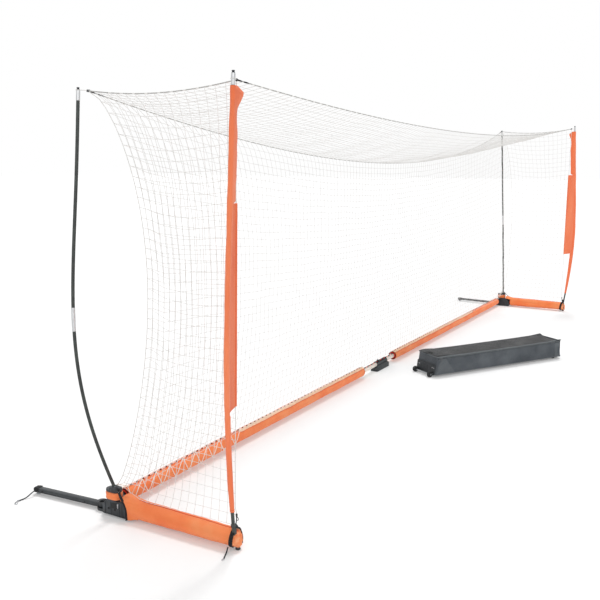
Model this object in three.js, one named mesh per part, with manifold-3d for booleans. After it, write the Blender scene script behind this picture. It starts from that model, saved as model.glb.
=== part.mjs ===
// Fold-up bow-frame soccer goal with its net, padded base and wheeled carry bag.
// Millimetres, +Z up. X runs along the rear base bar, +Y points behind the goal.
// The origin is on the ground under the rear base bar's line, halfway between the two hubs.

import * as THREE from 'three';
import { mergeVertices } from 'three/addons/utils/BufferGeometryUtils.js';
import Module from 'manifold-3d';

const wasm = await Module();
wasm.setup();

// Clearances
const SEAT_GAP = 0.4;            // fixed pieces that touch
const RUNNING_GAP = 0.6;         // pieces that turn past each other

// Base frame
const HALF_WIDTH = 3200;         // centre of each hub from the middle of the goal
const GOAL_DEPTH = 732;          // rear bar to the foot of a front pole
const NET_HEIGHT = 1989;         // rear top corners of the net above the ground
const FRONT_RISE = 14;           // the front top corners stand this much higher
const BAR_RADIUS = 17;
const BAR_WALL = 2;
const BAR_HEIGHT = 54;           // axis of the base bars above the ground
const BAR_SOCKET_DEPTH = 32;     // how far a bar goes into a hub or a front socket
const HINGE_X = -100;            // fold in the rear bar
const HINGE_SPLIT = 12;          // space between the two bar ends at the fold
const COUPLER_WALL = 4.5;
const COUPLER_LENGTH = 230;
const COUPLER_WIDTH = 64;
const COUPLER_BLOCK_HEIGHT = 42; // flat-bottomed block under the coupler's round sleeve
const COUPLER_SHOULDER = 20;     // the block is longer than the sleeve by this at each end

// Hubs
const HUB_WIDTH = 84;
const HUB_FRONT = -140;
const HUB_BACK = 26;
const HUB_LEDGE = 8;             // thickness of the hub above the leg's slot
const HUB_SHOULDER = 84;         // top of the hub's block
const HUB_PLINTH_HEIGHT = 10;
const HUB_PLINTH_INSET = 12;     // the block overhangs its plinth by this all round
const HUB_TOP = 146;
const TOWER_WIDTH = 50;          // the tower is flush with the hub's outer face
const TOWER_FRONT = -74;
const TOWER_BACK = 6;
const TOWER_ARC_STEPS = 8;
const HUB_BOSS_RADIUS = 16;
const HUB_BOSS_HEIGHT = 6;
const BOSS_OVERLAP = 2;          // the boss goes this far into the tower
const BAND_HEIGHT = 46;
const BAND_BOTTOM = 86;
const BAND_THICKNESS = 3;

// Rear legs
const LEG_PIVOT_Y = 66;
const LEG_LENGTH = 428;          // pivot pin to the end of the leg
const LEG_SPLAY = 4.6;           // degrees outward from straight back
const LEG_WIDTH = 33;
const LEG_HEIGHT = 21;
const LEG_WALL = 2.5;
const LUG_RADIUS = 24;
const LUG_THICKNESS = 14.4;      // hub's floor under the leg
const PIN_RADIUS = 5;
const PIN_HEAD_RADIUS = 10;
const PIN_HEAD_HEIGHT = 6;
const LEG_FOOT_LENGTH = 34;
const LEG_FOOT_WALL = 2;
const LEG_PEG_RADIUS = 10;       // round foot under the end of the leg

// Pads round the base bars
const REAR_PAD_RADIUS = 36;
const SIDE_PAD_RADIUS = 46;
const PAD_ROUNDING = 10;
const PAD_BORE_GAP = 0.7;
const REAR_PAD_HUB_GAP = 40;     // bare bar between hub and pad
const LEFT_PAD_HINGE_GAP = 350;
const RIGHT_PAD_HINGE_GAP = 243;
const SIDE_PAD_HUB_GAP = 5;
const SIDE_PAD_NOSE = 14;        // pad's length past the front socket
const NOSE_FLATNESS = 0.5;

// Front sockets
const SOCKET_RADIUS = 30;
const SOCKET_BEHIND = 42;        // socket's reach behind the pole
const SOCKET_AHEAD = 26;
const SOCKET_TUBE_RADIUS = 15;
const SOCKET_TUBE_TOP = 118;
const SOCKET_FOOT_RADIUS = 24;
const STRAP_BEHIND = 16;         // strap's middle behind the pole
const STRAP_WIDTH = 22;
const STRAP_THICKNESS = 3;

// Bow poles
const POLE_RADIUS = 8;
const POLE_FOOT_Z = 60;
const FERRULE_RADIUS = 9;
const FERRULE_LENGTH = 108;
const POLE_SPLIT = 979;          // height at which the two lengths of a pole meet
const TIP_LENGTH = 52;
const TIP_CAP = 12;
const POLE_STEPS = 8;            // facets along each length of pole
const BOW_SKEW = 0.2;            // moves the widest point of a bow below its middle
const REAR_BOW = {
  footOut: 0,
  footY: -60,
  tipOut: 40,
  tipY: 54,
  tipZ: NET_HEIGHT + 6,
  out: 135,
  back: 36,
};
const FRONT_BOW = {
  footOut: 15,
  footY: -GOAL_DEPTH,
  tipOut: 0,
  tipY: -GOAL_DEPTH - 20,
  tipZ: NET_HEIGHT + 40,
  out: 108,
  back: -42,
};

// Fabric sleeve on a front pole, with the banner that fills part of the bow
const SLEEVE_RADIUS = 13;
const SLEEVE_BOTTOM = 195;
const SLEEVE_FIN = 44;           // slack fabric above the banner, from the pole's middle
const BANNER_BOTTOM = 645;
const BANNER_TOP = 1510;
const BANNER_THICKNESS = 4;
const BANNER_STEPS = 8;

// Net and its border rope
const ROPE_RADIUS = 4;
const NET_THICKNESS = 2;
const FRONT_CORNER = { inset: 52, y: 2 - GOAL_DEPTH };
const REAR_CORNER = { inset: 9, y: 44 };
const MOUTH_EDGE_BOTTOM = 190;   // lower end of the mouth's side ropes
const MOUTH_EDGE_REACH = 34;     // their distance there from the middle of the socket's tube
const MOUTH_TIE_ANGLE = 155;     // degrees round the tube, where they are tied to it
const MOUTH_TIE_DROP = 12;       // tie's distance below the top of the tube
const FRONT_SAG = 135;
const REAR_SAG = 335;
const SIDE_SAG = 30;
const REAR_TOP_PULL = 105;       // the rear top rope is drawn forward this much in its middle
const CORNER_PULL_X = 138;       // the net's rear corners are drawn inward in their middle
const CORNER_PULL_Y = 153;
const CORNER_SKEW = 0.81;        // below 1, the corners are drawn in most above their middle
const CORNER_FULLNESS = 0.73;
const FOOT_RISE_START = 150;     // the net's foot climbs from the pads to the top of a hub
const FOOT_RISE_END = 40;        // between these distances from its corner
const NET_BAND = 16;             // width of the bands between the net's openings
const NET_LENGTH = { bays: 12, steps: 1 };
const NET_DROP = { bays: 5, steps: 2 };
const NET_DEPTH = { bays: 2, steps: 2 };

// Carry bag
const BAG_CENTRE = [492, -741];
const BAG_TURN = -32.2;          // degrees about Z
const BAG_LENGTH = 1336;
const BAG_WIDTH = 250;
const BAG_FLOOR = 14;
const BAG_RIM = 158;
const BAG_WALL = 4;
const LID_THICKNESS = 5;
const WHEEL_RADIUS = 23;
const WHEEL_WIDTH = 22;
const WHEEL_INSET = 30;          // middle of a wheel from the bag's side
const WHEEL_WELL_GAP = 2;
const AXLE_RADIUS = 4;
const AXLE_BACK = 30;            // axle's distance outside the bag's end wall
const PLATE_THICKNESS = 7;
const PLATE_TOP = 96;
const PLATE_INSET = 7;
const AXLE_LUG_WIDTH = 5;
const AXLE_LUG_RADIUS = 9;
const BAG_FOOT_RADIUS = 14;
const BAG_FOOT_INSET = 60;       // from the handle end
const BAG_FOOT_SIDE_INSET = 35;
const HANDLE_WIDTH = 150;
const HANDLE_DROP = 62;
const HANDLE_WEB = 24;
const HANDLE_TOP = 124;
const HANDLE_THICKNESS = 4;
const SLIDER_SIZE = [26, 6, 12];
const SLIDER_START = 40;         // closed slider's distance from the wheel end
const SLIDER_DROP = 4;           // slider's top below the bag's rim
const PULL_SIZE = [10, 2.5, 22];

// Cords on the ground, given for the right-hand side
const TETHER_RADIUS = 3;
const TETHER_ROUTE = [
  [3252.2, 474, 26], [3257.3, 473.6, 26], [3262.4, 473.3, 25.8], [3267.5, 473.1, 25.3],
  [3272.6, 473, 24.4], [3277.7, 473.1, 23], [3282.8, 473.6, 21], [3287.7, 474.4, 18.5],
  [3292.5, 475.5, 15.8], [3297.3, 476.8, 13], [3302.1, 478.3, 10.4], [3307, 480, 8],
  [3312, 481.8, 6.1], [3317, 483.5, 4.8], [3322, 485, 3.9], [3327, 486.2, 3.4],
  [3332, 487.3, 3.3], [3337, 488.2, 3.3], [3342.5, 488.8, 3.3], [3348, 489, 3.3],
];
const TAIL_RADIUS = 3;
const TAIL_ROUTE = [
  [3235.3, -712, 18.7], [3239.5, -712.4, 14.5], [3243.7, -713.3, 10.5], [3248, -714.8, 7],
  [3252.8, -716.6, 4.6], [3258, -718.8, 3.5], [3264, -721.4, 3.3], [3270, -724, 3.3],
  [3276, -726.4, 3.3], [3282, -728.9, 3.3], [3288, -731.5, 3.3], [3294, -734.3, 3.3],
  [3300, -736.7, 3.3], [3306, -738.3, 3.3], [3312, -739, 3.3], [3319, -739, 3.3],
];
const HOOK_FERRULE_LENGTH = 12;
const HOOK_FERRULE_RADIUS = 5;
const HOOK_WIRE_RADIUS = 2.6;
const HOOK_BEND = [
  [10, 0, 0.5], [20, -1, 0], [30, -6, 0], [34, -13, 0], [30, -19, 0], [23, -18, 0],
];

const colours = {
  blackPlastic: 0x24282a,
  pole: 0x2b302f,
  silver: 0xb9bdbd,
  orange: 0xf0743f,
  blackWeb: 0x1e2021,
  net: 0xf3f3f1,
  rope: 0xe9e9e6,
  rubber: 0x1c1d1e,
  bag: 0x3d4448,
  steel: 0xa9acad,
};
const goal = new THREE.Group();
const bag = new THREE.Group();
bag.position.set(BAG_CENTRE[0], BAG_CENTRE[1], 0);
bag.rotation.z = THREE.MathUtils.degToRad(BAG_TURN);
goal.add(bag);

// ---- Helpers -------------------------------------------------------------------------

function addPiece(parent, name, geometry, colour, roughness = 0.8, metalness = 0) {
  const material = new THREE.MeshStandardMaterial({ color: colour, roughness, metalness });
  const piece = new THREE.Mesh(geometry, material);
  piece.name = name;
  parent.add(piece);
  return piece;
}

function toSolid(geometry) {
  const bare = geometry.clone();
  bare.deleteAttribute('normal');
  bare.deleteAttribute('uv');
  const merged = mergeVertices(bare, 1e-3);
  return new wasm.Manifold(new wasm.Mesh({
    numProp: 3,
    vertProperties: new Float32Array(merged.attributes.position.array),
    triVerts: new Uint32Array(merged.index.array),
  }));
}

function toGeometry(solid) {
  const mesh = solid.getMesh();
  const geometry = new THREE.BufferGeometry();
  geometry.setAttribute('position', new THREE.Float32BufferAttribute(mesh.vertProperties, 3));
  geometry.setIndex(Array.from(mesh.triVerts));
  return geometry;
}

function join(...geometries) {
  return toGeometry(geometries.map(toSolid).reduce((all, next) => all.add(next)));
}

function cut(body, ...tools) {
  return toGeometry(tools.map(toSolid).reduce((left, tool) => left.subtract(tool), toSolid(body)));
}

function boxBetween(low, high) {
  const size = high.map((value, axis) => value - low[axis]);
  const box = new THREE.BoxGeometry(...size);
  box.translate(...high.map((value, axis) => (value + low[axis]) / 2));
  return box;
}

function post(x, y, bottom, top, radius, sides = 16) {
  const cylinder = new THREE.CylinderGeometry(radius, radius, top - bottom, sides);
  cylinder.rotateX(Math.PI / 2);
  cylinder.translate(x, y, (bottom + top) / 2);
  return cylinder;
}

function rodAlongY(x, z, back, front, radius, sides = 16) {
  const cylinder = new THREE.CylinderGeometry(radius, radius, Math.abs(back - front), sides);
  cylinder.translate(x, (back + front) / 2, z);
  return cylinder;
}

function rodAlongX(y, z, start, end, radius, sides = 16) {
  const cylinder = new THREE.CylinderGeometry(radius, radius, Math.abs(end - start), sides);
  cylinder.rotateZ(Math.PI / 2);
  cylinder.translate((start + end) / 2, y, z);
  return cylinder;
}

// A ring round the Y axis with rounded outer edges, from 0 to the given length
function paddedRing(length, outer, inner, rounding, sides = 16) {
  const profile = [new THREE.Vector2(inner, 0)];
  const quarter = Math.PI / 2;
  const arcSteps = 2;
  for (let i = 0; i <= arcSteps; i += 1) {
    const angle = quarter * (i / arcSteps);
    const radius = outer - rounding * (1 - Math.sin(angle));
    profile.push(new THREE.Vector2(radius, rounding * (1 - Math.cos(angle))));
  }
  for (let i = arcSteps; i >= 0; i -= 1) {
    const angle = quarter * (i / arcSteps);
    const radius = outer - rounding * (1 - Math.sin(angle));
    profile.push(new THREE.Vector2(radius, length - rounding * (1 - Math.cos(angle))));
  }
  profile.push(new THREE.Vector2(inner, length));
  profile.push(new THREE.Vector2(inner, 0));
  return new THREE.LatheGeometry(profile, sides);
}

function plainRing(length, outer, inner, sides = 16) {
  const profile = [[inner, 0], [outer, 0], [outer, length], [inner, length], [inner, 0]];
  return new THREE.LatheGeometry(profile.map((point) => new THREE.Vector2(...point)), sides);
}

function polygon(radius, sides) {
  const shape = [];
  for (let i = 0; i < sides; i += 1) {
    const angle = (2 * Math.PI * i) / sides;
    shape.push(new THREE.Vector2(radius * Math.cos(angle), radius * Math.sin(angle)));
  }
  return new THREE.Shape(shape);
}

function tubeAlong(curve, radius, steps, sides = 8) {
  return new THREE.ExtrudeGeometry(polygon(radius, sides), {
    steps,
    bevelEnabled: false,
    extrudePath: curve,
  });
}

function smoothRoute(points) {
  return new THREE.CatmullRomCurve3(points.map((point) => new THREE.Vector3(...point)));
}

class Route extends THREE.Curve {
  constructor(place) {
    super();
    this.place = place;
  }

  getPoint(t, target = new THREE.Vector3()) {
    return target.copy(this.place(t));
  }

  // Even steps in t keep neighbouring pieces on the same stations
  getPointAt(t, target) {
    return this.getPoint(t, target);
  }

  getTangentAt(t, target) {
    return this.getTangent(t, target);
  }
}

// A closed sheet of even thickness round the surface place(u, v), u and v from 0 to 1, with a
// row of points at each station. insets draws the edges at u = 0, u = 1, v = 0 and v = 1 towards
// the next row. isOpen(i, j) leaves out the cell between stations i, i + 1 and j, j + 1.
function sheetSolid(
  place,
  thickness,
  uStations,
  vStations,
  insets = [0, 0, 0, 0],
  isOpen = () => false,
) {
  const uSteps = uStations.length - 1;
  const vSteps = vStations.length - 1;
  const grid = uStations.flatMap((u) => vStations.map((v) => place(u, v)));
  const rowLength = vSteps + 1;
  const at = (i, j) => grid[i * rowLength + j];
  const middle = (low, value, high) => Math.min(Math.max(value, low), high);
  const positions = [];
  for (const side of [0.5, -0.5]) {
    for (let i = 0; i <= uSteps; i += 1) {
      for (let j = 0; j <= vSteps; j += 1) {
        const nextU = at(middle(0, i + 1, uSteps), j);
        const lastU = at(middle(0, i - 1, uSteps), j);
        const nextV = at(i, middle(0, j + 1, vSteps));
        const lastV = at(i, middle(0, j - 1, vSteps));
        const normal = nextU.clone().sub(lastU).cross(nextV.clone().sub(lastV)).normalize();
        const point = at(i, j).clone().addScaledVector(normal, side * thickness);
        const draw = (towards, rimStart, rimEnd, distance) => {
          const inward = towards.clone().sub(at(i, j)).normalize();
          const slant = rimEnd.clone().sub(rimStart).normalize().cross(inward).length();
          point.addScaledVector(inward, distance / slant);
        };
        if (i === 0) draw(nextU, lastV, nextV, insets[0]);
        if (i === uSteps) draw(lastU, lastV, nextV, insets[1]);
        if (j === 0) draw(nextV, lastU, nextU, insets[2]);
        if (j === vSteps) draw(lastV, lastU, nextU, insets[3]);
        positions.push(point.x, point.y, point.z);
      }
    }
  }
  const layer = grid.length;
  const faces = [];
  const quad = (a, b, c, d) => faces.push(a, b, c, a, c, d);
  const isBare = (i, j) => i < 0 || j < 0 || i >= uSteps || j >= vSteps || isOpen(i, j);
  for (let i = 0; i < uSteps; i += 1) {
    for (let j = 0; j < vSteps; j += 1) {
      if (isOpen(i, j)) continue;
      const a = i * rowLength + j;
      const b = a + rowLength;
      quad(a, b, b + 1, a + 1);
      quad(layer + a, layer + a + 1, layer + b + 1, layer + b);
      if (isBare(i, j - 1)) quad(a, layer + a, layer + b, b);
      if (isBare(i, j + 1)) quad(a + 1, b + 1, layer + b + 1, layer + a + 1);
      if (isBare(i - 1, j)) quad(a, a + 1, layer + a + 1, layer + a);
      if (isBare(i + 1, j)) quad(b, layer + b, layer + b + 1, b + 1);
    }
  }
  const geometry = new THREE.BufferGeometry();
  geometry.setAttribute('position', new THREE.Float32BufferAttribute(positions, 3));
  geometry.setIndex(faces);
  return geometry.toNonIndexed();
}

// Shares of a length, from 0 to 1, for a band of material round each of its bays
function bandStations(length, bays, steps, band) {
  const half = band / length / 2;
  const stations = [];
  for (let bay = 0; bay <= bays; bay += 1) {
    const centre = Math.min(Math.max(bay / bays, half), 1 - half);
    stations.push(centre - half, centre + half);
    for (let step = 1; step < steps && bay < bays; step += 1) {
      stations.push((bay + step / steps) / bays);
    }
  }
  return stations;
}

function evenStations(steps) {
  return Array.from({ length: steps + 1 }, (_, step) => step / steps);
}

const lerp = THREE.MathUtils.lerp;
const sides = [{ name: 'left', sign: -1 }, { name: 'right', sign: 1 }];

// ---- Shared routes -------------------------------------------------------------------

// Centre line of a bow pole; t runs from foot to tip in even steps of height
function bowRoute(bow, sign) {
  return new Route((t) => {
    const bend = Math.sin(Math.PI * t) + BOW_SKEW * Math.sin(2 * Math.PI * t);
    const outward = lerp(bow.footOut, bow.tipOut, t) + bow.out * bend;
    return new THREE.Vector3(
      sign * (HALF_WIDTH + outward),
      lerp(bow.footY, bow.tipY, t) + bow.back * bend,
      lerp(POLE_FOOT_Z, bow.tipZ, t),
    );
  });
}

function bowAtHeight(bow, sign, z) {
  return bowRoute(bow, sign).place((z - POLE_FOOT_Z) / (bow.tipZ - POLE_FOOT_Z));
}

function bowSection(bow, sign, bottom, top) {
  return new Route((t) => bowAtHeight(bow, sign, lerp(bottom, top, t)));
}

const frontSocketX = HALF_WIDTH + FRONT_BOW.footOut;
const socketBack = FRONT_BOW.footY + SOCKET_BEHIND;
const socketFront = FRONT_BOW.footY - SOCKET_AHEAD;
const legBottom = LUG_THICKNESS + RUNNING_GAP;
const legTop = legBottom + LEG_HEIGHT;
const lugTop = legTop + RUNNING_GAP + HUB_LEDGE;
const ferruleBottom = POLE_SPLIT - FERRULE_LENGTH / 2;
const ferruleTop = POLE_SPLIT + FERRULE_LENGTH / 2;
const netRearFootZ = BAR_HEIGHT + REAR_PAD_RADIUS + SEAT_GAP;
const netFrontFootZ = BAR_HEIGHT + SIDE_PAD_RADIUS + STRAP_THICKNESS + 2 * SEAT_GAP;
const netFrontX = HALF_WIDTH - FRONT_CORNER.inset;
const netRearX = HALF_WIDTH - REAR_CORNER.inset;
const hubInnerX = HALF_WIDTH - HUB_WIDTH / 2;
const hubOuterX = HALF_WIDTH + HUB_WIDTH / 2;
const frontTopZ = NET_HEIGHT + FRONT_RISE;
const hubBoss = bowAtHeight(REAR_BOW, 1, HUB_TOP + HUB_BOSS_HEIGHT / 2);
const netFootX = hubBoss.x - HUB_BOSS_RADIUS - ROPE_RADIUS - SEAT_GAP;
const netFootY = hubBoss.y;
const netFootZ = HUB_TOP + ROPE_RADIUS;
const mouthFoot = besideSocketTube(MOUTH_EDGE_REACH, MOUTH_EDGE_BOTTOM);
const mouthTie = besideSocketTube(SOCKET_TUBE_RADIUS + ROPE_RADIUS + SEAT_GAP,
  SOCKET_TUBE_TOP - MOUTH_TIE_DROP);

// A point at the inner side of the right-hand front socket's upright tube
function besideSocketTube(distance, z) {
  const angle = THREE.MathUtils.degToRad(MOUTH_TIE_ANGLE);
  return [
    frontSocketX + distance * Math.cos(angle),
    FRONT_BOW.footY + distance * Math.sin(angle),
    z,
  ];
}

function bulge(t) {
  return Math.max(Math.sin(Math.PI * t ** CORNER_SKEW), 0) ** CORNER_FULLNESS;
}

// Share of the climb from pad to hub top at some distance from a corner of the net's foot
function footRise(distance) {
  const share = (FOOT_RISE_START - distance) / (FOOT_RISE_START - FOOT_RISE_END);
  return THREE.MathUtils.clamp(share, 0, 1);
}

// Front top rope; u runs from left to right
function frontTop(u) {
  const x = lerp(-netFrontX, netFrontX, u);
  return new THREE.Vector3(x, FRONT_CORNER.y, frontTopZ - FRONT_SAG * 4 * u * (1 - u));
}

function rearTop(u) {
  const x = lerp(-netRearX, netRearX, u);
  const hang = 4 * u * (1 - u);
  return new THREE.Vector3(x, REAR_CORNER.y - REAR_TOP_PULL * hang, NET_HEIGHT - REAR_SAG * hang);
}

// Side top rope; v runs from front to rear
function sideTop(sign, v) {
  return new THREE.Vector3(
    sign * lerp(netFrontX, netRearX, v),
    lerp(FRONT_CORNER.y, REAR_CORNER.y, v),
    lerp(frontTopZ, NET_HEIGHT, v) - SIDE_SAG * 4 * v * (1 - v),
  );
}

// Rear corner rope; t runs from top to bottom
function rearCorner(sign, t) {
  const pull = bulge(t);
  return new THREE.Vector3(
    sign * (lerp(netRearX, netFootX, t) - CORNER_PULL_X * pull),
    lerp(REAR_CORNER.y, netFootY, t) - CORNER_PULL_Y * pull,
    lerp(NET_HEIGHT, netFootZ, t),
  );
}

// Front edge rope; t runs from top to bottom
function mouthEdge(sign, t) {
  return new THREE.Vector3(
    sign * lerp(netFrontX, mouthFoot[0], t),
    lerp(FRONT_CORNER.y, mouthFoot[1], t),
    lerp(frontTopZ, mouthFoot[2], t),
  );
}

// ---- Base frame ----------------------------------------------------------------------

function addRearBars() {
  const barBore = BAR_RADIUS - BAR_WALL;
  const outerEnd = hubInnerX + BAR_SOCKET_DEPTH;
  const spans = {
    rear_bar_left: [-outerEnd, HINGE_X - HINGE_SPLIT / 2],
    rear_bar_right: [HINGE_X + HINGE_SPLIT / 2, outerEnd],
  };
  for (const [name, [start, end]] of Object.entries(spans)) {
    const tube = plainRing(end - start, BAR_RADIUS, barBore);
    tube.rotateZ(-Math.PI / 2);
    tube.translate(start, 0, BAR_HEIGHT);
    addPiece(goal, name, tube, colours.blackPlastic, 0.45, 0.3);
  }

  const halfLength = COUPLER_LENGTH / 2;
  const halfWidth = COUPLER_WIDTH / 2;
  const halfSleeve = halfLength - COUPLER_SHOULDER;
  const sleeveBore = BAR_RADIUS + SEAT_GAP;
  const sleeve = rodAlongX(0, BAR_HEIGHT, HINGE_X - halfSleeve, HINGE_X + halfSleeve,
    sleeveBore + COUPLER_WALL);
  const block = boxBetween(
    [HINGE_X - halfLength, -halfWidth, 0],
    [HINGE_X + halfLength, halfWidth, COUPLER_BLOCK_HEIGHT],
  );
  const bore = rodAlongX(0, BAR_HEIGHT, HINGE_X - halfLength - 1, HINGE_X + halfLength + 1, sleeveBore);
  addPiece(goal, 'centre_coupler', cut(join(sleeve, block), bore), colours.blackPlastic, 0.6);
}

// Upright prism with the tower's round-ended plan, made wider by grow
function towerPrism(sign, grow, bottom, top) {
  const radius = TOWER_WIDTH / 2;
  const x = sign * (hubOuterX - radius);
  const plan = new THREE.Shape();
  plan.absarc(x, TOWER_FRONT + radius, radius + grow, Math.PI, 2 * Math.PI);
  plan.absarc(x, TOWER_BACK - radius, radius + grow, 0, Math.PI);
  plan.closePath();
  const prism = new THREE.ExtrudeGeometry(plan, {
    depth: top - bottom,
    bevelEnabled: false,
    curveSegments: TOWER_ARC_STEPS,
  });
  prism.translate(0, 0, bottom);
  return prism;
}

function addHub({ name, sign }) {
  const x = sign * HALF_WIDTH;
  const half = HUB_WIDTH / 2;
  const base = half - HUB_PLINTH_INSET;
  const plinth = boxBetween(
    [x - base, HUB_FRONT + HUB_PLINTH_INSET, 0],
    [x + base, HUB_BACK, HUB_PLINTH_HEIGHT + 1],
  );
  const block = boxBetween(
    [x - half, HUB_FRONT, HUB_PLINTH_HEIGHT],
    [x + half, HUB_BACK, HUB_SHOULDER],
  );
  const tower = towerPrism(sign, 0, HUB_SHOULDER - 1, HUB_TOP);
  const boss = post(sign * hubBoss.x, hubBoss.y, HUB_TOP - BOSS_OVERLAP, HUB_TOP + HUB_BOSS_HEIGHT,
    HUB_BOSS_RADIUS);
  const lugBlock = boxBetween(
    [x - LUG_RADIUS, HUB_BACK - 1, 0],
    [x + LUG_RADIUS, LEG_PIVOT_Y, lugTop],
  );
  const lugRound = post(x, LEG_PIVOT_Y, 0, lugTop, LUG_RADIUS);
  const slotBack = LEG_PIVOT_Y + LUG_RADIUS + 1;
  const slot = boxBetween([x - half, HUB_BACK, LUG_THICKNESS], [x + half, slotBack, legTop + RUNNING_GAP]);
  const pinBore = post(x, LEG_PIVOT_Y, -1, lugTop + 1, PIN_RADIUS + SEAT_GAP);
  const barEnd = hubInnerX + BAR_SOCKET_DEPTH + SEAT_GAP;
  const rearBore = rodAlongX(0, BAR_HEIGHT, sign * (hubInnerX - 1), sign * barEnd,
    BAR_RADIUS + SEAT_GAP);
  const sideBore = rodAlongY(x, BAR_HEIGHT, HUB_FRONT + BAR_SOCKET_DEPTH + SEAT_GAP, HUB_FRONT - 1,
    BAR_RADIUS + SEAT_GAP);
  const [poleBore] = poleLengths(REAR_BOW, sign, SEAT_GAP);
  const poleFootGap = post(x, REAR_BOW.footY, POLE_FOOT_Z - POLE_RADIUS / 2, POLE_FOOT_Z + SEAT_GAP,
    POLE_RADIUS + SEAT_GAP);
  const body = join(plinth, block, tower, boss, lugBlock, lugRound);
  const hub = cut(body, slot, pinBore, rearBore, sideBore, poleBore, poleFootGap);
  addPiece(goal, `hub_${name}`, hub, colours.blackPlastic, 0.55);

  const bandTop = BAND_BOTTOM + BAND_HEIGHT;
  const wrap = towerPrism(sign, SEAT_GAP + BAND_THICKNESS, BAND_BOTTOM, bandTop);
  const inside = towerPrism(sign, SEAT_GAP, BAND_BOTTOM - 1, bandTop + 1);
  addPiece(goal, `hub_band_${name}`, cut(wrap, inside), colours.orange, 0.9);
}

function addLeg({ name, sign }) {
  const leg = new THREE.Group();
  leg.position.set(sign * HALF_WIDTH, LEG_PIVOT_Y, 0);
  leg.rotation.z = THREE.MathUtils.degToRad(-sign * LEG_SPLAY);
  goal.add(leg);
  const half = LEG_WIDTH / 2;
  const root = post(0, 0, legBottom, legTop, half);
  const bar = boxBetween([-half, 0, legBottom], [half, LEG_LENGTH, legTop]);
  const hollowStart = 3 * PIN_RADIUS;
  const hollow = boxBetween(
    [-half + LEG_WALL, hollowStart, legBottom + LEG_WALL],
    [half - LEG_WALL, LEG_LENGTH + 1, legTop - LEG_WALL],
  );
  const pinHole = post(0, 0, 0, legTop + 1, PIN_RADIUS + SEAT_GAP);
  const bodyShape = cut(join(root, bar), hollow, pinHole);
  addPiece(leg, `leg_${name}`, bodyShape, colours.blackPlastic, 0.5, 0.1);

  const shaft = post(0, 0, 1, lugTop + SEAT_GAP + 1, PIN_RADIUS);
  const head = post(0, 0, lugTop + SEAT_GAP, lugTop + SEAT_GAP + PIN_HEAD_HEIGHT, PIN_HEAD_RADIUS, 6);
  addPiece(leg, `leg_pin_${name}`, join(shaft, head), colours.steel, 0.35, 0.9);

  const grip = SEAT_GAP + LEG_FOOT_WALL;
  const capFront = LEG_LENGTH - LEG_FOOT_LENGTH;
  const capBack = LEG_LENGTH + LEG_FOOT_WALL + SEAT_GAP;
  const cap = boxBetween([-half - grip, capFront, legBottom - grip], [half + grip, capBack, legTop + grip]);
  const peg = post(0, (capFront + capBack) / 2, 0, legBottom - grip + 1, LEG_PEG_RADIUS);
  const pocket = boxBetween(
    [-half - SEAT_GAP, capFront - 1, legBottom - SEAT_GAP],
    [half + SEAT_GAP, LEG_LENGTH + SEAT_GAP, legTop + SEAT_GAP],
  );
  addPiece(leg, `leg_foot_${name}`, cut(join(cap, peg), pocket), colours.rubber, 0.9);
}

// ---- Front sockets and side bars -----------------------------------------------------

function socketPieces(sign, grow) {
  const x = sign * HALF_WIDTH;
  const tubeX = sign * frontSocketX;
  return [
    rodAlongY(x, BAR_HEIGHT, socketBack + grow, socketFront - grow, SOCKET_RADIUS + grow),
    post(tubeX, FRONT_BOW.footY, BAR_HEIGHT, SOCKET_TUBE_TOP + grow, SOCKET_TUBE_RADIUS + grow),
    post(x, FRONT_BOW.footY, grow > 0 ? -1 : 0, BAR_HEIGHT, SOCKET_FOOT_RADIUS + grow),
  ];
}

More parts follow.
